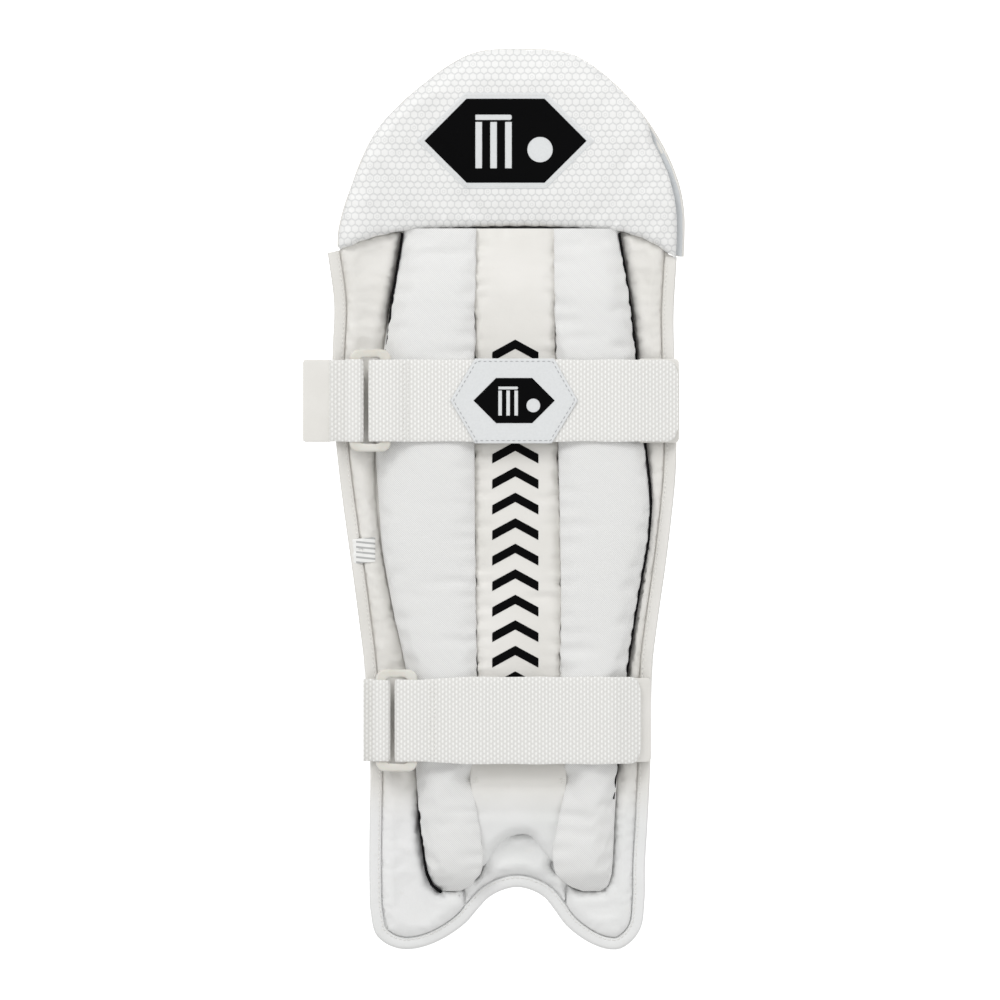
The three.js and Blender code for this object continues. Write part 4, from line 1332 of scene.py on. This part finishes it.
for strap, seed in (("calf", 71), ("ankle", 72)):
    ring_low, ring_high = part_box(f"{strap}_ring")
    low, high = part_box(f"{strap}_strap")
    ring_y = (ring_low.y + ring_high.y) / 2
    off_bar = (ring_high.y - ring_low.y) / 2 + WEB_THICK / 2 + 0.2 * MM
    left_bar, right_bar = ring_low.x + BAR_HALF, ring_high.x - BAR_HALF
    level = (low.z + high.z) / 2
    strap_depth = surface(frame["nodes"][f"{strap}_strap"])
    run_x = np.linspace(right_bar + 18 * MM, high.x - 0.2 * MM, 34)
    run_y = strap_depth(np.column_stack([run_x, np.full(len(run_x), level)])) + WEB_THICK / 2
    nose = right_bar - BAR_HALF - 7.4 * MM
    turned = [
        (right_bar + 15.5 * MM, run_y[0] + WEB_THICK + 0.15 * MM),
        (right_bar + 9 * MM, ring_y + off_bar + 0.3 * MM),
        (right_bar, ring_y + off_bar),
        (right_bar - BAR_HALF, ring_y + off_bar),
        (nose + 1.2 * MM, ring_y + 1.5 * MM),
        (nose, ring_y),
        (nose + 1.2 * MM, ring_y - 1.5 * MM),
        (right_bar - BAR_HALF, ring_y - off_bar),
        (right_bar, ring_y - off_bar),
        (right_bar + 6 * MM, ring_y - off_bar + 0.6 * MM),
    ]
    whole = turned + list(zip(run_x, run_y))
    spread = ANKLE_SPREAD if strap == "ankle" else 0
    ends = {"corner": STRAP_CORNER, "spread": spread}
    band = strip(f"{strap}_strap_webbing", whole, low.z, high.z, WEBBING, seed=seed, **ends)
    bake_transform(band)
    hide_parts(f"{strap}_strap")

    tab_low, tab_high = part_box(f"{strap}_tab_loop")
    tab_level = (tab_low.z + tab_high.z) / 2
    sewn_end = np.array([[tab_low.x + 1 * MM, tab_level]])
    wing_y = surface(frame["nodes"][f"{strap}_tab_loop"])(sewn_end, 1)[0]
    stack = WEB_THICK + 0.2 * MM
    tab_nose = left_bar + BAR_HALF + 1.9 * MM
    tab_path = [
        (tab_low.x, wing_y - WEB_THICK / 2),
        (tab_low.x + 7 * MM, wing_y - WEB_THICK / 2),
        (left_bar - BAR_HALF - 1 * MM, ring_y + off_bar + 0.4 * MM),
        (left_bar, ring_y + off_bar),
        (tab_nose - 1.2 * MM, ring_y + off_bar - 0.7 * MM),
        (tab_nose, ring_y),
        (tab_nose - 1.2 * MM, ring_y - off_bar + 0.7 * MM),
        (left_bar, ring_y - off_bar),
        (left_bar - BAR_HALF - 0.6 * MM, ring_y - off_bar + 1 * MM),
        (tab_low.x + 8 * MM, wing_y - WEB_THICK / 2 - stack),
        (tab_low.x, wing_y - WEB_THICK / 2 - stack),
    ]
    tab = strip(f"{strap}_tab_webbing", tab_path, tab_low.z, tab_high.z, WEBBING, seed=seed + 9)
    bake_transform(tab)
    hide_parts(f"{strap}_tab_loop")

    rows = []
    for x in (right_bar + 15 * MM, right_bar + 12 * MM):
        row = even(np.array([(x, low.z + 3 * MM), (x, high.z - 3 * MM)]), 3 * MM)
        rows.append(on(row, band, lift=0.12 * MM))
    strap_stitches = stitches(f"{strap}_turn_stitches", rows, 2.6 * MM, 1.9 * MM, 0.7 * MM)
    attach(strap_stitches, f"{strap}_strap")

# ------------------------------------------------------------------ hook and loop, landing patches
# Hook tape is sewn under each strap's free end, loop lining lies under its run over the leg,
# and a leather landing patch on the right wing takes the hooks.


def loop_pile(place):
    pile = place.noise(0.55 * MM, 4, 0.7)
    colour = pile.between(0.3, 0.7).blend(rgb(216, 215, 210), rgb(240, 239, 236))
    return {"Base Color": colour, "Roughness": 0.85 + pile * 0.1}, pile * (0.25 * MM)


PILE = finish_of("hook and loop", loop_pile, Sheen_Weight=0.3)
for strap in ("calf", "ankle"):
    parts = [
        ("loop_lining", "strap_lining", PILE, f"{strap}_strap", "hook_and_loop"),
        ("hook_strip", "hook_tape", PILE, f"{strap}_strap", "hook_and_loop"),
        ("landing", "landing_patch", LEATHER, "shin", "smooth_leather"),
    ]
    for label, node_end, material, carrier, slot_name in parts:
        node = f"{strap}_{node_end}"
        low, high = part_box(node)
        depth = surface(frame["nodes"][node])
        sample = np.linspace(low.x + 0.1 * MM, high.x - 0.1 * MM, 24)
        middle = np.full(len(sample), (low.z + high.z) / 2)
        near, far = (depth(np.column_stack([sample, middle]), side) for side in (-1, 1))

        def near_side(plan, distance):
            soft = 0.3 * MM * (1 - shoulder(distance, 1.2 * MM))
            return np.interp(plan[:, 0], sample, near) + soft

        loop = rounded(low.x, high.x, low.z, high.z, 2.5 * MM, 2 * MM)
        made = panel(
            f"{strap}_{label}",
            loop,
            3 * MM,
            near_side,
            lambda plan, _: np.interp(plan[:, 0], sample, far),
            material,
            rings=(0.5 * MM, 1.3 * MM),
        )
        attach(made, carrier)
        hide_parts(node)

# ------------------------------------------------------------------ calf patch, pull tongue and care label
# A silver six-sided patch with the wicket motif is stitched on the calf strap over the shin.
# A smooth pull tongue stands out past the calf tab. A small satin label is sewn in beside the left channel.
def grey_look(place):
    twist = place.noise(0.8 * MM)
    return {"Base Color": twist.blend(rgb(166, 168, 170), rgb(190, 192, 193))}, None


GREY_THREAD = finish_of("grey thread", grey_look, Roughness=0.6)
strap_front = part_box("calf_patch")[1].y
patch_loop = anticlockwise(fair_loop(edge_loop("calf_patch"), 1.8 * MM, 25))


def on_strap(plan):
    return np.full(len(plan), strap_front)


patch = film("calf_badge", patch_loop, 2.2 * MM, on_strap, 0, 1 * MM, SILVER)
badge_low, badge_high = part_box("calf_patch_mark")
badge_x, badge_z = (badge_low.x + badge_high.x) / 2, (badge_low.z + badge_high.z) / 2
badge_loop = anticlockwise(fair_loop(edge_loop("calf_patch_mark"), 1.2 * MM, 25))
cuts = wicket(badge_x - 4 * MM, badge_z, 27 * MM)
badge = film("calf_badge_motif", badge_loop, 1.8 * MM, surface(patch), 0, 0.45 * MM, BLACK, cuts)
badge_row = on(inset(patch_loop, 1.9 * MM), patch, lift=0.05 * MM)
badge_row = np.vstack([badge_row, badge_row[:1]])
badge_stitches = stitches("calf_badge_stitches", [badge_row], 3.5 * MM, 2.3 * MM, 0.6 * MM, GREY_THREAD)
for made in (patch, badge, badge_stitches):
    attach(made, "calf_strap")
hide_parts("calf_patch")
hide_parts("calf_patch_mark")

tongue_low, tongue_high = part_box("calf_pull_tongue")
tongue_x, tongue_z = (tongue_low.x, tongue_high.x + 2 * MM), (tongue_low.z, tongue_high.z)


def tongue_side(y, softness):
    def depth(plan, distance):
        waves = unevenness(plan, 40 * MM, 81) * 0.2 * MM
        return y + softness * (1 - shoulder(distance, 1 * MM)) + waves

    return depth


tongue = panel(
    "calf_tongue",
    rounded(*tongue_x, *tongue_z, 1.5 * MM, 1.8 * MM),
    2.4 * MM,
    tongue_side(tongue_low.y, 0.35 * MM),
    tongue_side(tongue_high.y - 0.1 * MM, 0),
    LEATHER,
    rings=(0.4 * MM, 1 * MM),
)
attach(tongue, "shin")
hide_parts("calf_pull_tongue")
label_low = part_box("care_label")[0]


def satin(place):
    x, _, z = place.parts()
    sheen = place.noise(0.5 * MM, 3)
    bars = (((z + x * 0.1) / (3.4 * MM)).math("FRACT") - 0.5).math("ABSOLUTE")
    ink = (1 - bars.between(0.14, 0.24)) * x.between(label_low.x + 3 * MM, label_low.x + 3.3 * MM)
    colour = (ink * 0.6).blend(rgb(240, 240, 238), rgb(120, 121, 123))
    return {"Base Color": colour, "Roughness": 0.45 + sheen * 0.15}, sheen * (0.03 * MM)


SATIN = finish_of("satin label", satin)
label_loop = anticlockwise(fair_loop(edge_loop("care_label"), 1.5 * MM))
wing_depth = surface(wing_left)


def label_side(lift):
    return lambda plan, _: wing_depth(plan) - lift - unevenness(plan, 14 * MM, 3) * 0.25 * MM


label = panel("care_tag", label_loop, 1.8 * MM, label_side(0.9 * MM), label_side(0.5 * MM), SATIN)
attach(label, "shin")
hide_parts("care_label")

# ------------------------------------------------------------------ printed column
# Black chevrons run up the smooth centre channel and pass under both straps.
PRINT_HALF, PRINT_ARM, PRINT_RISE = 15.4 * MM, 6.2 * MM, 8.4 * MM
PRINT_PITCH = 17 * MM
chevron = [(-PRINT_HALF, -PRINT_RISE), (0, 0), (PRINT_HALF, -PRINT_RISE)]
chevron = np.array(chevron + [(x, z + PRINT_ARM) for x, z in chevron[::-1]])
chevrons = []
centre_depth = surface(centre_channel)
for number, z in enumerate(np.arange(-80 * MM, 158 * MM, PRINT_PITCH)):
    loop = anticlockwise(even(chevron + [badge_x + 0.8 * MM, z], 1.6 * MM, closed=True))
    chevrons.append(film(f"print_{number}", loop, 1.9 * MM, centre_depth, 0.14 * MM, 0.25 * MM, BLACK))
bpy.context.view_layer.update()
print_column = chevrons[0]
chosen = {"selected_editable_objects": chevrons, "selected_objects": chevrons}
with bpy.context.temp_override(active_object=print_column, **chosen):
    bpy.ops.object.join()
print_column.name = "centre_print"
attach(print_column, "shin")

# ------------------------------------------------------------------ floor, light and camera
# A pale floor and backdrop, broad soft lights, and a long lens that looks straight at the leg side.
CAMERA_REACH = 5.0
FRAME_SIZE = 0.664
LOOK_AT = Vector((-0.0114, 0, 0.0403))


def plain(name, colour, glow):
    material = bpy.data.materials.new(name)
    material.use_nodes = True
    shader = material.node_tree.nodes["Principled BSDF"]
    shader.inputs["Base Color"].default_value = (*[colour] * 3, 1)
    shader.inputs["Roughness"].default_value = 1.0
    shader.inputs["Specular IOR Level"].default_value = 0.0
    shader.inputs["Emission Color"].default_value = (1, 1, 1, 1)
    shader.inputs["Emission Strength"].default_value = glow
    return material


def stage_plane(name, corners, material):
    mesh = bpy.data.meshes.new(name)
    mesh.from_pydata(corners, [], [(0, 1, 2, 3)])
    mesh.materials.append(material)
    made = bpy.data.objects.new(name, mesh)
    bpy.context.scene.collection.objects.link(made)
    return made


ground = cad_box[0].z - 0.3 * MM
floor_corners = [(-12, -9, ground), (12, -9, ground), (12, 9, ground), (-12, 9, ground)]
floor = stage_plane("floor", floor_corners, plain("floor", 0.4, 0.85))
backdrop_corners = [(-12, 9, -4), (12, 9, -4), (12, 9, 8), (-12, 9, 8)]
backdrop = stage_plane("backdrop", backdrop_corners, plain("backdrop", 0.8, 1.0))
for plane in (floor, backdrop):
    plane.visible_diffuse = False
    plane.visible_glossy = False

world = bpy.data.worlds.new("studio")
world.use_nodes = True
world.node_tree.nodes["Background"].inputs["Color"].default_value = (0.995, 0.995, 0.99, 1)
world.node_tree.nodes["Background"].inputs["Strength"].default_value = 0.73
bpy.context.scene.world = world


def softbox(name, place, size, power):
    light = bpy.data.lights.new(name, "AREA")
    light.shape, light.size, light.energy = "DISK", size, power
    made = bpy.data.objects.new(name, light)
    made.location = place
    made.rotation_mode = "QUATERNION"
    made.rotation_quaternion = (LOOK_AT - Vector(place)).to_track_quat("-Z", "Y")
    bpy.context.scene.collection.objects.link(made)


softbox("key", (-1.5, -2.4, 2.2), 1.6, 40)
softbox("fill", (2.2, -2.0, 0.9), 2.0, 12)
softbox("back", (0.6, 2.6, 1.6), 2.0, 26)

lens = bpy.data.cameras.new("camera")
lens.sensor_width = 36
lens.lens = 36 * CAMERA_REACH / FRAME_SIZE
lens.clip_start, lens.clip_end = 0.05, 60
camera = bpy.data.objects.new("camera", lens)
camera.location = LOOK_AT + Vector((0, cad_box[0].y - CAMERA_REACH, 0))
camera.rotation_euler = (math.radians(90), 0, 0)
bpy.context.scene.collection.objects.link(camera)
bpy.context.scene.camera = camera
bpy.context.scene.view_settings.view_transform = "Standard"
